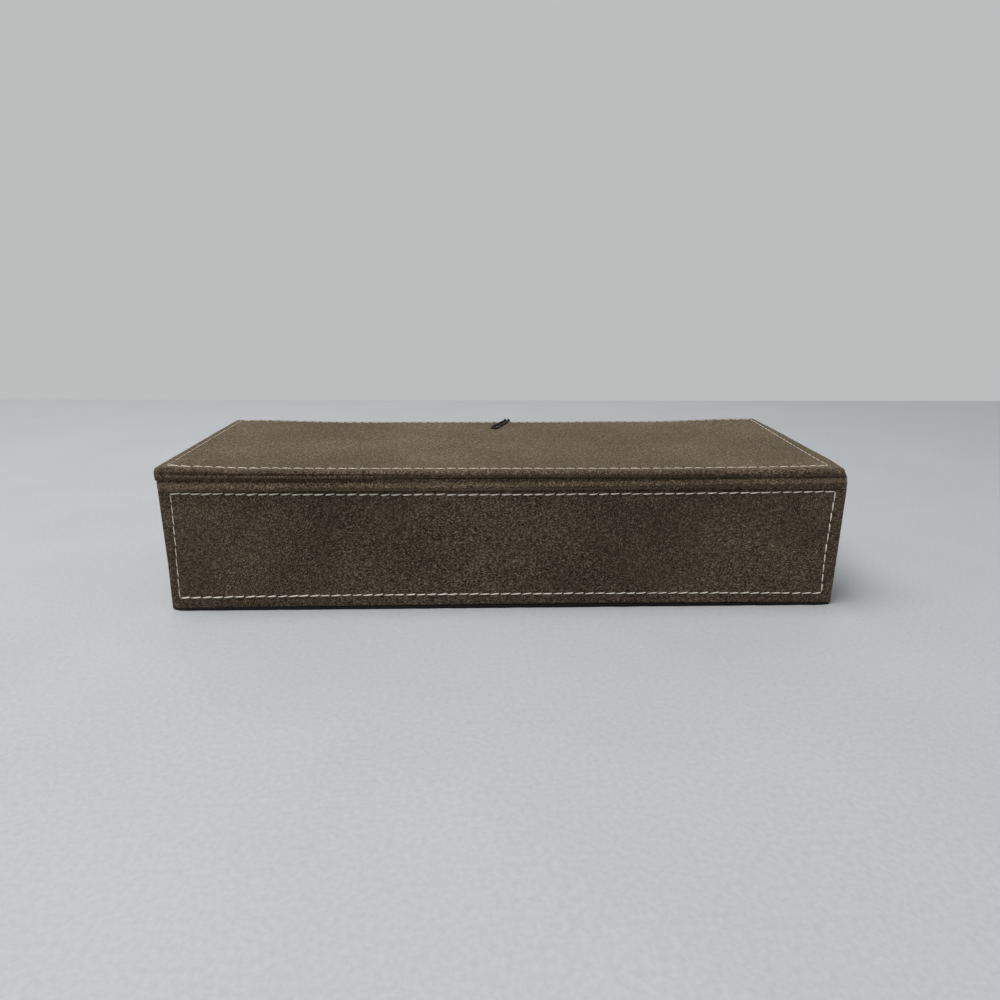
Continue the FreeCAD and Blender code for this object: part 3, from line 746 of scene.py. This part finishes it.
baseLook = {
    "inset": 0.10 * mm,  # in from the suede's faces
    "round": 0.25 * mm, "step": 3 * mm, "rim": 0.3 * mm,
    "sheetAndShadowLip": (0.8 * mm, 1.35 * mm),  # out past the back, at the -X end and at the +X end; this black lip is partly the sheet's edge and partly painted contact shadow on the floor
    "lipPast": 1.5 * mm, "lipFade": 6 * mm, "edgeWave": 0.25 * mm, "edgeLumps": 7 * mm,
    "upper": 0.9 * mm, "wave": 0.12 * mm, "lumps": 10 * mm, "corner": 2.5 * mm,
    "drawnIn": 0.6 * mm,  # at the two back corners
}


def basePiece():
    # the black sheet under the box, nearly out to the suede's faces; along the back it runs past
    # them as a black lip that is partly painted contact shadow
    look = baseLook
    low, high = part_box("base_sheet")
    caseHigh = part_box("back_cover")[1]
    reachX, reachY = caseHigh.x - look["inset"], caseHigh.y - look["inset"]
    corners = (-reachX, -reachY, low.z), (reachX, reachY, high.z)
    bm = newBlock(*corners)
    roundEdges(bm, look["round"], 2)
    cutEvenly(bm, 0, *corners, look["step"])
    cutEvenly(bm, 1, *corners, look["step"])
    for vert in bm.verts:
        if abs(vert.co.y) > reachY - look["rim"]:
            along = easy(vert.co.x / (2 * reachX) + 0.5)
            # past the back the black sheet is partly painted contact shadow under the suede's lower
            # edge
            sheetAndShadowLip = lerp(*look["sheetAndShadowLip"], along) if vert.co.y > 0 else 0.0
            sheetAndShadowLip *= easy((reachX + look["lipPast"] - abs(vert.co.x)) / look["lipFade"])
            vert.co.y += sheetAndShadowLip + wander(vert.co, look["edgeLumps"], 17) * look["edgeWave"]
            if vert.co.y > 0 and vert.co.z > look["upper"]:
                vert.co.z -= hang(vert.co)
        if vert.co.z > look["upper"]:
            vert.co.z += wander(vert.co, look["lumps"], 18) * look["wave"]
        corner = easy((abs(vert.co.x) - reachX + look["corner"]) / look["corner"])
        corner *= vert.co.y > reachY - look["rim"]
        flared = flare(vert.co) if vert.co.x < 0 else 0.0
        vert.co.x += flared - math.copysign(look["drawnIn"] * corner, vert.co.x)
    keepPiece("baseSheet", bm, "base_sheet", "case", ["base_sheet"])


sillLook = {"round": 0.35 * mm, "step": 3 * mm, "wave": 0.05 * mm}

backPanel()
sidePanel("left", -1, 3)
sidePanel("right", 1, 4)
railPanel()
softBlock("sillSuede", "sill_cover", "suede", "case", sillLook, 6)
basePiece()
print("case covered")


hingeLook = {
    "foot": (47.1 * mm, 46.7 * mm),  # lower edge at the -X end and at the +X end
    "top": 51.2 * mm,  # inside the lid's rim
    # where the fold starts below the seam, from -X to +X
    "seam": [(-127, 51.2), (-85, 50.9), (-40, 50.4), (0, 50.0), (60, 50.0), (127, 50.3)],
    "crest": (0.62, 0.30),  # where the fold stands out most, as a share of its height
    "root": 50.0 * mm, "swell": (1.05 * mm, 1.75 * mm),
    "footOut": 0.55 * mm,  # the lower edge lies on the panel at the -X end
    "footFade": 1.6, "ridge": 0.25 * mm, "ridgeWidth": 0.09, "ridgeFade": 1.4,
    "furrow": 0.30 * mm, "furrowSpan": (0.92, 0.12), "lidLevel": 50.55 * mm,
    "inner": 0.45 * mm,  # how far in the inner side lies above that level
    "seamWave": 0.15 * mm, "overSeam": 0.3 * mm, "uneven": 0.14,
    "ends": 0.62,  # the share left at its two ends
    "endWidth": 2.5 * mm,
    "reach": 1.35 * mm,  # past the CAD strip, at -X
    "otherReach": (0.20 * mm, 1.20 * mm),  # at +X, at its lower and its upper edge
    "reachSpan": (116 * mm, 10.3 * mm), "rings": 22, "step": 2 * mm,
}


def riseAt(rises, x):
    # a smooth line through the listed heights
    x /= mm
    if x <= rises[0][0]:
        return rises[0][1] * mm
    for (x0, rise0), (x1, rise1) in zip(rises, rises[1:]):
        if x <= x1:
            return lerp(rise0, rise1, easy((x - x0) / (x1 - x0))) * mm
    return rises[-1][1] * mm


def hingeRoll():
    # a soft welt of folded suede that closes the gap between the back panel and the lid
    low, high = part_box("hinge_strip")
    look = hingeLook
    bm = newBlock(low, high)
    cutEvenly(bm, 2, low, high, (high.z - low.z) / look["rings"])
    cutEvenly(bm, 0, low, high, look["step"])
    for vert in bm.verts:
        outer = vert.co.y > (low.y + high.y) / 2
        side = (vert.co.x - low.x) / (high.x - low.x)
        share = (vert.co.z - low.z) / (high.z - low.z)
        foot = lerp(*look["foot"], easy(side))
        seam = riseAt(look["seam"], vert.co.x)
        seam += wander((vert.co.x, 0, 0), 30 * mm, 14) * look["seamWave"]
        vert.co.z = lerp(foot, max(look["top"], seam + look["overSeam"]), share)
        if outer:
            crest = lerp(*look["crest"], side)
            level = max((vert.co.z - foot) / (seam - foot), 0.0)
            power = math.log(0.5) / math.log(crest)
            swell = math.sin(math.pi * min(level, 1.0) ** power) * lerp(*look["swell"], side)
            uneven = 1 + look["uneven"] * wander((vert.co.x, 0, vert.co.z * 2), 13 * mm, 7)
            inside = easy((high.x - abs(vert.co.x)) / look["endWidth"])
            footOut = look["footOut"] * (1 - easy(side * look["footFade"]))
            ridge = look["ridge"] * (1 - easy(side * look["ridgeFade"]))
            out = max(swell, footOut * easy(2 - 2 * level))
            out += ridge * bell(level - crest, look["ridgeWidth"])
            out -= look["furrow"] * ramp(level, look["furrowSpan"])
            vert.co.y = look["root"] + out * uneven * lerp(look["ends"], 1.0, inside)
        elif vert.co.z > look["lidLevel"]:
            vert.co.y = look["root"] - look["inner"]
        reach = look["reach"] if vert.co.x < 0 else lerp(*look["otherReach"], share)
        vert.co.x += math.copysign(reach, vert.co.x) * ramp(abs(vert.co.x), look["reachSpan"])
    piece = keepPiece("hingeRoll", bm, "suede", None, ["hinge_strip"])
    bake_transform(piece)


tapeLook = {
    "thickness": 0.3 * mm,
    # points of the bend: in from the wall's side and down from its top
    "corner": [(0.15 * mm, 0.9 * mm), (0.28 * mm, 0.4 * mm), (0.65 * mm, 0.15 * mm)],
    "bend": 0.75 * mm, "turns": 8, "steps": 96,
}


def hingeTape():
    # velour tape from the back wall's inside, over its top and on under the lid
    look = tapeLook
    low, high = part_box("hinge_tape")
    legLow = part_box("lid_hinge_tape")[0]
    half = look["thickness"] / 2
    profile = [(low.y + half, low.z)] + [(low.y + y, high.z - z) for y, z in look["corner"]]
    bend = high.y - look["bend"]
    bottom, top = high.z - half, legLow.z + half
    radius = (top - bottom) / 2
    profile.append((lerp(low.y, bend, 0.5), bottom))
    for turn in range(look["turns"] + 1):
        angle = math.pi * (turn / look["turns"] - 0.5)
        y, z = bend + radius * math.cos(angle), (bottom + top) / 2 + radius * math.sin(angle)
        profile.append((y, z))
    profile += [(lerp(legLow.y, bend, share), top) for share in (0.66, 0.33, 0.0)]
    bm = bmesh.new()
    verts = [bm.verts.new((low.x, y, z)) for y, z in profile]
    made = [bm.edges.new(pair) for pair in zip(verts, verts[1:])]
    for step in range(look["steps"]):
        grown = bmesh.ops.extrude_edge_only(bm, edges=made)["geom"]
        made = [item for item in grown if isinstance(item, bmesh.types.BMEdge)]
        moved = [item for item in grown if isinstance(item, bmesh.types.BMVert)]
        made = [edge for edge in made if all(vert in moved for vert in edge.verts)]
        bmesh.ops.translate(bm, verts=moved, vec=((high.x - low.x) / look["steps"], 0, 0))
    bmesh.ops.recalc_face_normals(bm, faces=bm.faces)
    bmesh.ops.solidify(bm, geom=bm.faces[:], thickness=look["thickness"])
    bmesh.ops.recalc_face_normals(bm, faces=bm.faces)
    piece = keepPiece("hingeTape", bm, "velour", None, ["hinge_tape", "lid_hinge_tape"])
    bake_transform(piece)


hingeRoll()
hingeTape()
print("hinge made")


# spans are (start, width); the ones along Y are shares of the way to the hinge side
lidLook = {
    "round": 1.7 * mm, "turnIn": 14 * mm, "thickness": 0.9 * mm, "lowRound": 0.3 * mm,
    "step": 0.33 * mm, "wave": 0.12 * mm, "lumps": 22 * mm, "sunk": 0.05 * mm,
    "flat": 0.6 * mm,  # the lowest part does not rise
    "ends": (112 * mm, 15 * mm),  # where the overhangs grow, from the middle outwards
    "overhang": 1.3 * mm,  # at the +X end
    "tucked": 0.90,  # the share of it that is left at the lower edge
    "tuckedSpan": (50.7 * mm, 1.8 * mm),
    "frontMore": 0.25,  # and the share more at the front
    "backOverhang": 0.35 * mm,  # at the -X end
    "frontOverhang": 1.3 * mm,  # more of it at the front
    "frontFade": 1.3, "upper": (50.7 * mm, 3.2 * mm),
    "bulge": 1.05 * mm,  # the edge bows out along the -X end
    "bulgeEdge": (123.5 * mm, 2.5 * mm), "bulgeFront": (-0.105, 0.7), "bulgeBack": 0.14,
    "spread": 0.90 * mm,  # the lower edge stands out at the back corner there
    "spreadSpan": (0.55, 1 / 2.4),
    "drawnIn": 0.25 * mm,  # the top edge is drawn in at that corner
    "drawnSpan": (0.45, 1 / 1.8),
    # heights above the flat lid from -X to +X, at the hinge side and at the front
    "backRise": [(-127, 0.10), (-122, 0.05), (-92, -0.45), (-54, -0.78), (2, -0.72), (58, -0.62),
                 (94, -0.40), (116, 0.30), (123, 0.75), (127, 0.80)],
    "frontRise": [(-127, 0.85), (-120, 0.70), (-72, -0.55), (0, -0.85), (73, -0.90), (118, 0.0),
                  (127, 0.1)],
    "plump": (0.66, 0.88),  # of the thread, along the hinge side
    "plumpAlong": (60 * mm, 40 * mm), "frontPlump": 0.50, "sidePlump": (0.50, 0.42),
    "sideRows": 122.5 * mm,
    "topBow": 0.0, "lowBow": 0.0,
    "skew": (-0.8 * mm, 1.5 * mm),  # of the row at the -X end, at the front and at the back
    "lean": -1,  # these stitches slant the other way
}
# the hinge side's surface; heights and their widths are in millimetres
lidSideLook = {
    "depth": 1.0 * mm, "depthSpan": 0.6 * mm, "wave": 0.10 * mm, "lumps": 9 * mm,
    "crease": 0.55 * mm,  # from the +X end to the middle
    "creaseAlong": (5 * mm, 70 * mm), "creaseAt": (53.05, 0.42),
    "fold": 0.55,  # the fold under the crease, as a share of it
    "foldAt": (52.0, 0.55),
    "undercut": (0.45 * mm, 1.15 * mm),  # it leans in, at the -X end and in the middle
    "undercutAlong": (-100 * mm, 90 * mm), "undercutTop": (53.4, 2.2),
    "lessUndercut": 0.8,  # along the crease
    "seam": 0.8 * mm,  # depth of the furrow above the hinge roll
    "seamWidth": 0.45, "overRoll": 0.25, "lowest": 51.0,
}
lidLow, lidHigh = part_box("lid_cover")


def lidSettled(point):
    # the lid is dished and its corners lift; its underside stays on the walls
    look = lidLook
    share = easy((point.z - lidLow.z - look["flat"]) / (lidHigh.z - lidLow.z - look["flat"]))
    toBack = (point.y - lidLow.y) / (lidHigh.y - lidLow.y)
    rise = lerp(riseAt(look["frontRise"], point.x), riseAt(look["backRise"], point.x), toBack)
    tucked = lerp(look["tucked"], 1.0, ramp(point.z, look["tuckedSpan"]))
    tucked += look["frontMore"] * easy(1 - toBack)
    x = point.x + look["overhang"] * tucked * ramp(point.x, look["ends"])
    atEnd = ramp(-point.x, look["ends"])
    above = ramp(point.z, look["upper"])
    toFront = easy(1 - look["frontFade"] * toBack)
    x -= atEnd * (look["backOverhang"] + look["frontOverhang"] * toFront)
    bulge = look["bulge"] * ramp(-point.x, look["bulgeEdge"])
    x -= bulge * ramp(toBack, look["bulgeFront"]) * easy((1 - toBack) / look["bulgeBack"])
    x -= look["spread"] * atEnd * ramp(toBack, look["spreadSpan"]) * (1 - above)
    x += look["drawnIn"] * atEnd * ramp(toBack, look["drawnSpan"]) * above
    return Vector((x, point.y, point.z + rise * share))


def lidSideAt(point):
    # how far the hinge side's surface stands out or in
    look = lidSideLook
    level = point.z / mm
    seam = max(riseAt(hingeLook["seam"], point.x) / mm + look["overRoll"], look["lowest"])
    creased = ramp(point.x, look["creaseAlong"])
    foldAt, foldWidth = look["foldAt"]
    creaseAt, creaseWidth = look["creaseAt"]
    fold = look["fold"] * bell(level - foldAt, foldWidth)
    y = creased * look["crease"] * (fold - bell(level - creaseAt, creaseWidth))
    undercut = lerp(*look["undercut"], ramp(point.x, look["undercutAlong"]))
    top, width = look["undercutTop"]
    y -= (1 - look["lessUndercut"] * creased) * undercut * easy((top - level) / width)
    y -= look["seam"] * (1.0 if level < seam else bell(level - seam, look["seamWidth"]))
    return y


def lidPanel():
    look, rear = lidLook, lidSideLook
    panel = panelOn("lid", look, 0, 1, 2, 1)
    low, high = panel["low"], panel["high"]
    bm = newBlock(low, high)
    bm.normal_update()
    under = [face for face in bm.faces if face.normal.z < -0.5]
    bmesh.ops.inset_region(bm, faces=under, thickness=look["turnIn"], use_even_offset=True)
    bmesh.ops.delete(bm, geom=under, context="FACES")

    def isCorner(edge):
        # one of the four upright edges
        atCorner = [min(abs(vert.co.x) - high.x, abs(vert.co.y) - high.y) > -near
                    for vert in edge.verts]
        return all(atCorner) and max(vert.co.z for vert in edge.verts) > high.z - near

    def isFoot(edge):
        # the sharp lower edge of the rim
        outside = [max(abs(vert.co.x) - high.x, abs(vert.co.y) - high.y) > -1 * mm
                   and vert.co.z < low.z + near for vert in edge.verts]
        return all(outside) and abs(edge.calc_face_angle(0)) > 0.5

    roundEdges(bm, look["round"], 4, isCorner)
    roundEdges(bm, look["lowRound"], 2, isFoot)
    cutAcross(bm, 1, rowLevels(panel, 1))
    cutAcross(bm, 0, rowLevels(panel, 0))
    cutEvenly(bm, 2, low, high, look["step"])
    bmesh.ops.remove_doubles(bm, verts=bm.verts, dist=0.03 * mm)
    pullRows(bm, panel)
    for vert in bm.verts:
        if vert.co.z > low.z + 0.5 * mm:
            vert.co.z += wander(vert.co, look["lumps"], 8) * look["wave"] - look["sunk"]
        if vert.co.y > high.y - rear["depth"]:
            share = easy((vert.co.y - high.y + rear["depth"]) / rear["depthSpan"])
            uneven = wander(vert.co, rear["lumps"], 15) * rear["wave"]
            vert.co.y += share * (lidSideAt(vert.co) + uneven)
        vert.co = lidSettled(vert.co)
    dressPanel(panel, "lid", "lid", bm, 12, lidSettled)


coreLook = {"inset": 2 * mm, "lower": 0.5 * mm, "round": 0.3 * mm, "step": 6 * mm}


def lidCore():
    # the board inside the lid's suede
    inset = coreLook["inset"]
    low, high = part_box("lid_board")
    bm = newBlock(low + Vector((inset, inset, 0)), high - Vector((inset, inset, coreLook["lower"])))
    roundEdges(bm, coreLook["round"], 2)
    cutEvenly(bm, 0, low, high, coreLook["step"])
    for vert in bm.verts:
        vert.co = lidSettled(vert.co)
    keepPiece("lidCore", bm, "board", "lid", ["lid_board"])


padLook = {
    "round": 1.2 * mm, "crown": 0.35 * mm, "crownWidth": 9 * mm, "face": 0.8 * mm,
    "wave": 0.08 * mm, "lumps": 13 * mm,
    "tuck": 0.25 * mm,  # the edge is drawn in under the lid
    "tuckDepth": 0.9 * mm, "step": 3 * mm, "sideStep": 0.8 * mm, "thickness": 0.6 * mm,
}


def lidPad():
    # a thin foam pad under velour that closes down into the cells' rim
    look = padLook
    low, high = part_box("lid_pad")
    bm = newBlock(low, high)
    openFaces(bm, lambda normal: normal.z > 0.5)
    roundEdges(bm, look["round"], 4)
    cutEvenly(bm, 0, low, high, look["step"])
    cutEvenly(bm, 1, low, high, look["step"])
    cutEvenly(bm, 2, low, high, look["sideStep"])
    for vert in bm.verts:
        rim = min(high.x - abs(vert.co.x), high.y - abs(vert.co.y))
        if vert.co.z < low.z + look["face"]:
            vert.co.z += look["crown"] * (1 - easy(rim / look["crownWidth"]))
            vert.co.z += wander(vert.co, look["lumps"], 9) * look["wave"]
        elif vert.co.z > high.z - look["tuckDepth"]:
            vert.co.x *= 1 - look["tuck"] / high.x
            vert.co.y *= 1 - look["tuck"] / high.y
    piece = keepPiece("lidPad", bm, "velour", "lid", ["lid_pad"])
    thicken(piece, look["thickness"])


lidPanel()
lidCore()
lidPad()
print("lid made")


liningLook = {"thickness": 0.6 * mm, "wave": 0.10 * mm, "lumps": 12 * mm, "step": 4 * mm}
floorLiningLook = {"round": 0.2 * mm, "step": 5 * mm, "wave": 0.05 * mm}


def lining(name, node, body, wanted, seed):
    # velour glued to boards: the wanted faces of a box, thickened inwards
    look = liningLook
    low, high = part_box(node)
    bm = newBlock(low, high)
    openFaces(bm, lambda normal: not wanted(normal))
    cutLongSides(bm, low, high, look["step"])
    bm.normal_update()
    for vert in bm.verts:
        uneven = 0.5 + 0.5 * wander(vert.co, look["lumps"], seed)
        vert.co -= vert.normal * uneven * look["wave"]
    piece = keepPiece(name, bm, "velour", body, [node])
    thicken(piece, look["thickness"])


def makeLinings():
    def isWall(normal):
        return abs(normal.z) < 0.5

    def isBay(normal):
        return abs(normal.y) < 0.5 and normal.z < 0.5

    lining("wallLining", "wall_lining", "case", isWall, 21)
    softBlock("floorLining", "floor_lining", "velour", "case", floorLiningLook, 22)
    lining("bayLining", "bay_lining", "case", isBay, 23)
    lining("drawerWallLining", "drawer_wall_lining", "drawer", isWall, 24)
    softBlock("drawerFloorLining", "drawer_floor_lining", "velour", "drawer", floorLiningLook, 25)


dividerLook = {"round": 1.1 * mm, "wave": 0.12 * mm, "step": 3 * mm}


def makeDividers():
    nodes = ["long_divider"] + [f"cross_divider_{place}" for place in range(1, 5)]
    for place, node in enumerate(nodes):
        name = node.replace("_d", "D").replace("_", "")
        softBlock(name, node, "velour", "case", dividerLook, 40 + place)
    for place in (1, 2):
        softBlock(f"drawerDivider{place}", f"drawer_divider_{place}", "velour", "drawer",
                  dividerLook, 50 + place)


makeLinings()
makeDividers()
print("linings and dividers made")


cushionLook = {
    "start": 1.6 * mm,  # how much smaller the block starts
    "voxel": 1.5 * mm,
    "enlarged": 12.0,  # the simulation runs on a larger copy, where its steps are stable
    "pressure": 4.0,
    "cap": 2.2 * mm,  # the most that a point may move
    "frames": 20, "round": 2.5 * mm, "slitDepth": 5.6 * mm, "slitWidth": 0.62 * mm,
    "slitEnd": 7 * mm,  # from the cushion's end
    "slitFade": (1.5 * mm, 3 * mm),
    "lipDepth": 0.5 * mm,  # the cushion slopes down to its slit
    "lipWidth": 3.2 * mm,
    "rings": (0.35, 0.8, 1.4, 2.2, 3.2),  # edge rings beside the slit, in millimetres
    "foot": 0.6 * mm,  # the lowest part is pressed flat
    "play": 0.05 * mm, "uneven": 0.35 * mm, "lumps": 16 * mm, "lower": 0.2 * mm,
}


def blownUp(bm):
    # cloth filled with a little pressure, on an enlarged copy
    look = cushionLook
    grow = look["enlarged"]
    bmesh.ops.scale(bm, vec=(grow,) * 3, verts=bm.verts)
    mesh = asMesh("cushionTrial", bm)
    trial = newObject("cushionTrial", mesh)
    bpy.context.view_layer.objects.active = trial
    trial.select_set(True)
    remesh = trial.modifiers.new("remesh", "REMESH")
    remesh.mode = "VOXEL"
    remesh.voxel_size = look["voxel"] * grow
    bpy.ops.object.modifier_apply(modifier="remesh")
    rest = [vert.co.copy() for vert in trial.data.vertices]
    cloth = trial.modifiers.new("cloth", "CLOTH")
    cloth.settings.use_pressure = True
    cloth.settings.uniform_pressure_force = look["pressure"]
    cloth.settings.effector_weights.gravity = 0.0
    cloth.settings.quality = 6
    for step in range(1, look["frames"] + 1):
        scene.frame_set(step)
    bpy.ops.object.modifier_apply(modifier="cloth")
    scene.frame_set(1)
    made = bmesh.new()
    made.from_mesh(trial.data)
    cap = look["cap"] * grow
    for vert, old in zip(made.verts, rest):
        moved = vert.co - old
        if moved.length > cap:
            moved *= cap / moved.length
        vert.co = (old + moved) / grow
    bpy.data.objects.remove(trial)
    bpy.data.meshes.remove(mesh)
    return made


def makeCushions():
    look = cushionLook
    low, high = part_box("cufflink_cushion_1")
    size = high - low
    half = size / 2
    inset = Vector((look["start"],) * 3)
    bm = newBlock(-half + inset, half - inset)
    roundEdges(bm, look["round"], 4)
    bm = blownUp(bm)
    spread = [max(abs(vert.co[axis]) for vert in bm.verts) for axis in range(3)]
    for vert in bm.verts:
        for axis in range(3):
            vert.co[axis] *= (half[axis] - look["play"]) / spread[axis]
    bmesh.ops.smooth_vert(bm, verts=bm.verts, factor=0.5, use_axis_x=True, use_axis_y=True,
                          use_axis_z=True)
    rings = [-ring for ring in reversed(look["rings"])] + [0.0, *look["rings"]]
    cutAcross(bm, 1, [ring * mm for ring in rings])
    past, fade = look["slitFade"]
    reach = half.x - look["slitEnd"] + past
    for vert in bm.verts:
        if vert.co.z > 0:
            share = easy(vert.co.z / half.z)
            share *= easy((reach - abs(vert.co.x)) / fade)
            dip = bell(vert.co.y, look["slitWidth"])
            lips = bell(vert.co.y, look["lipWidth"]) * (1 - dip)
            vert.co.z -= look["slitDepth"] * dip * share
            vert.co.z -= look["lipDepth"] * lips * share
        if vert.co.z < -half.z + look["foot"]:
            vert.co.z = -half.z
    template = asMesh("cushionShape", bm)
    chance = random.Random(77)
    for place in range(1, 11):
        node = f"cufflink_cushion_{place}"
        nodeLow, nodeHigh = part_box(node)
        copy = bmesh.new()
        copy.from_mesh(template)
        halfTurn = Matrix.Rotation(math.pi * chance.randint(0, 1), 3, "Z")
        bmesh.ops.rotate(copy, verts=copy.verts, matrix=halfTurn)
        for vert in copy.verts:
            rise = wander(vert.co, look["lumps"], 60 + place) * look["uneven"]
            vert.co.z += (rise * easy((vert.co.z + half.z) / size.z)
                          - look["lower"] * easy(vert.co.z / half.z))
        middle = (nodeLow + nodeHigh) / 2
        bmesh.ops.translate(copy, verts=copy.verts, vec=middle)
        piece = keepPiece(f"cufflinkCushion{place}", copy, "cushion", "case", [node])
        smoother = piece.modifiers.new("smooth", "SUBSURF")
        smoother.levels = smoother.render_levels = 1


makeCushions()
print("cushions filled")


drawerLook = {"round": 0.8 * mm, "wave": 0.10 * mm, "lumps": 15 * mm, "step": 1.2 * mm,
              "thickness": 0.9 * mm, "topBow": 0.2 * mm, "lowBow": 0.15 * mm}


def drawerFront():
    panel = panelOn("drawer_front", drawerLook, 0, 2, 1, -1)
    bm = openSheet(panel, lambda normal: normal.y > 0.5)
    for vert in bm.verts:
        if vert.co.y < panel["face"] + 0.6 * mm:
            vert.co.y += (0.5 + 0.5 * wander(vert.co, panel["lumps"], 13)) * panel["wave"]
    dressPanel(panel, "drawerFront", "drawer", bm, 33)


drawerFront()
print("drawer dressed")


floorLook = {"low": (-2.2, -0.465), "high": (2.2, 2.6), "thickness": 0.02, "round": 0.002}
lampLook = {
    "location": (0.40, 0.20, 1.42), "size": 0.95, "power": 22.5, "colour": (1.0, 0.99, 0.97),
}
ambient = {"light": (0.285, 0.285, 0.285), "seen": (0.505, 0.515, 0.510)}


def makeFloor():
    look = floorLook
    bm = newBlock((*look["low"], -look["thickness"]), (*look["high"], 0.0))
    roundEdges(bm, look["round"], 3)
    mesh = asMesh("floor", bm)
    mesh.materials.append(plainFinish("floorLaminate"))
    floor = newObject("floor", mesh)


def makeLamp():
    look = lampLook
    data = bpy.data.lights.new("softbox", "AREA")
    data.shape = "SQUARE"
    data.size = look["size"]
    data.energy = look["power"]
    data.color = look["colour"]
    lamp = newObject("softbox", data)
    lamp.location = look["location"]
    lamp.rotation_euler = Vector(look["location"]).to_track_quat("Z", "Y").to_euler()


def makeWorld():
    world = bpy.data.worlds.new("studio")
    scene.world = world
    world.use_nodes = True
    tree = world.node_tree
    tree.nodes.clear()
    paths = tree.nodes.new("ShaderNodeLightPath")
    light, seen = [addNode(tree, "ShaderNodeBackground", Color=(*ambient[name], 1.0), Strength=1.0)
                   for name in ("light", "seen")]
    shown = combine(tree, "MAXIMUM", paths.outputs["Is Camera Ray"], paths.outputs["Is Glossy Ray"])
    either = tree.nodes.new("ShaderNodeMixShader")
    tree.links.new(shown, either.inputs[0])
    tree.links.new(light.outputs[0], either.inputs[1])
    tree.links.new(seen.outputs[0], either.inputs[2])
    output = tree.nodes.new("ShaderNodeOutputWorld")
    tree.links.new(either.outputs[0], output.inputs["Surface"])


makeFloor()
makeLamp()
makeWorld()
print("lights set")
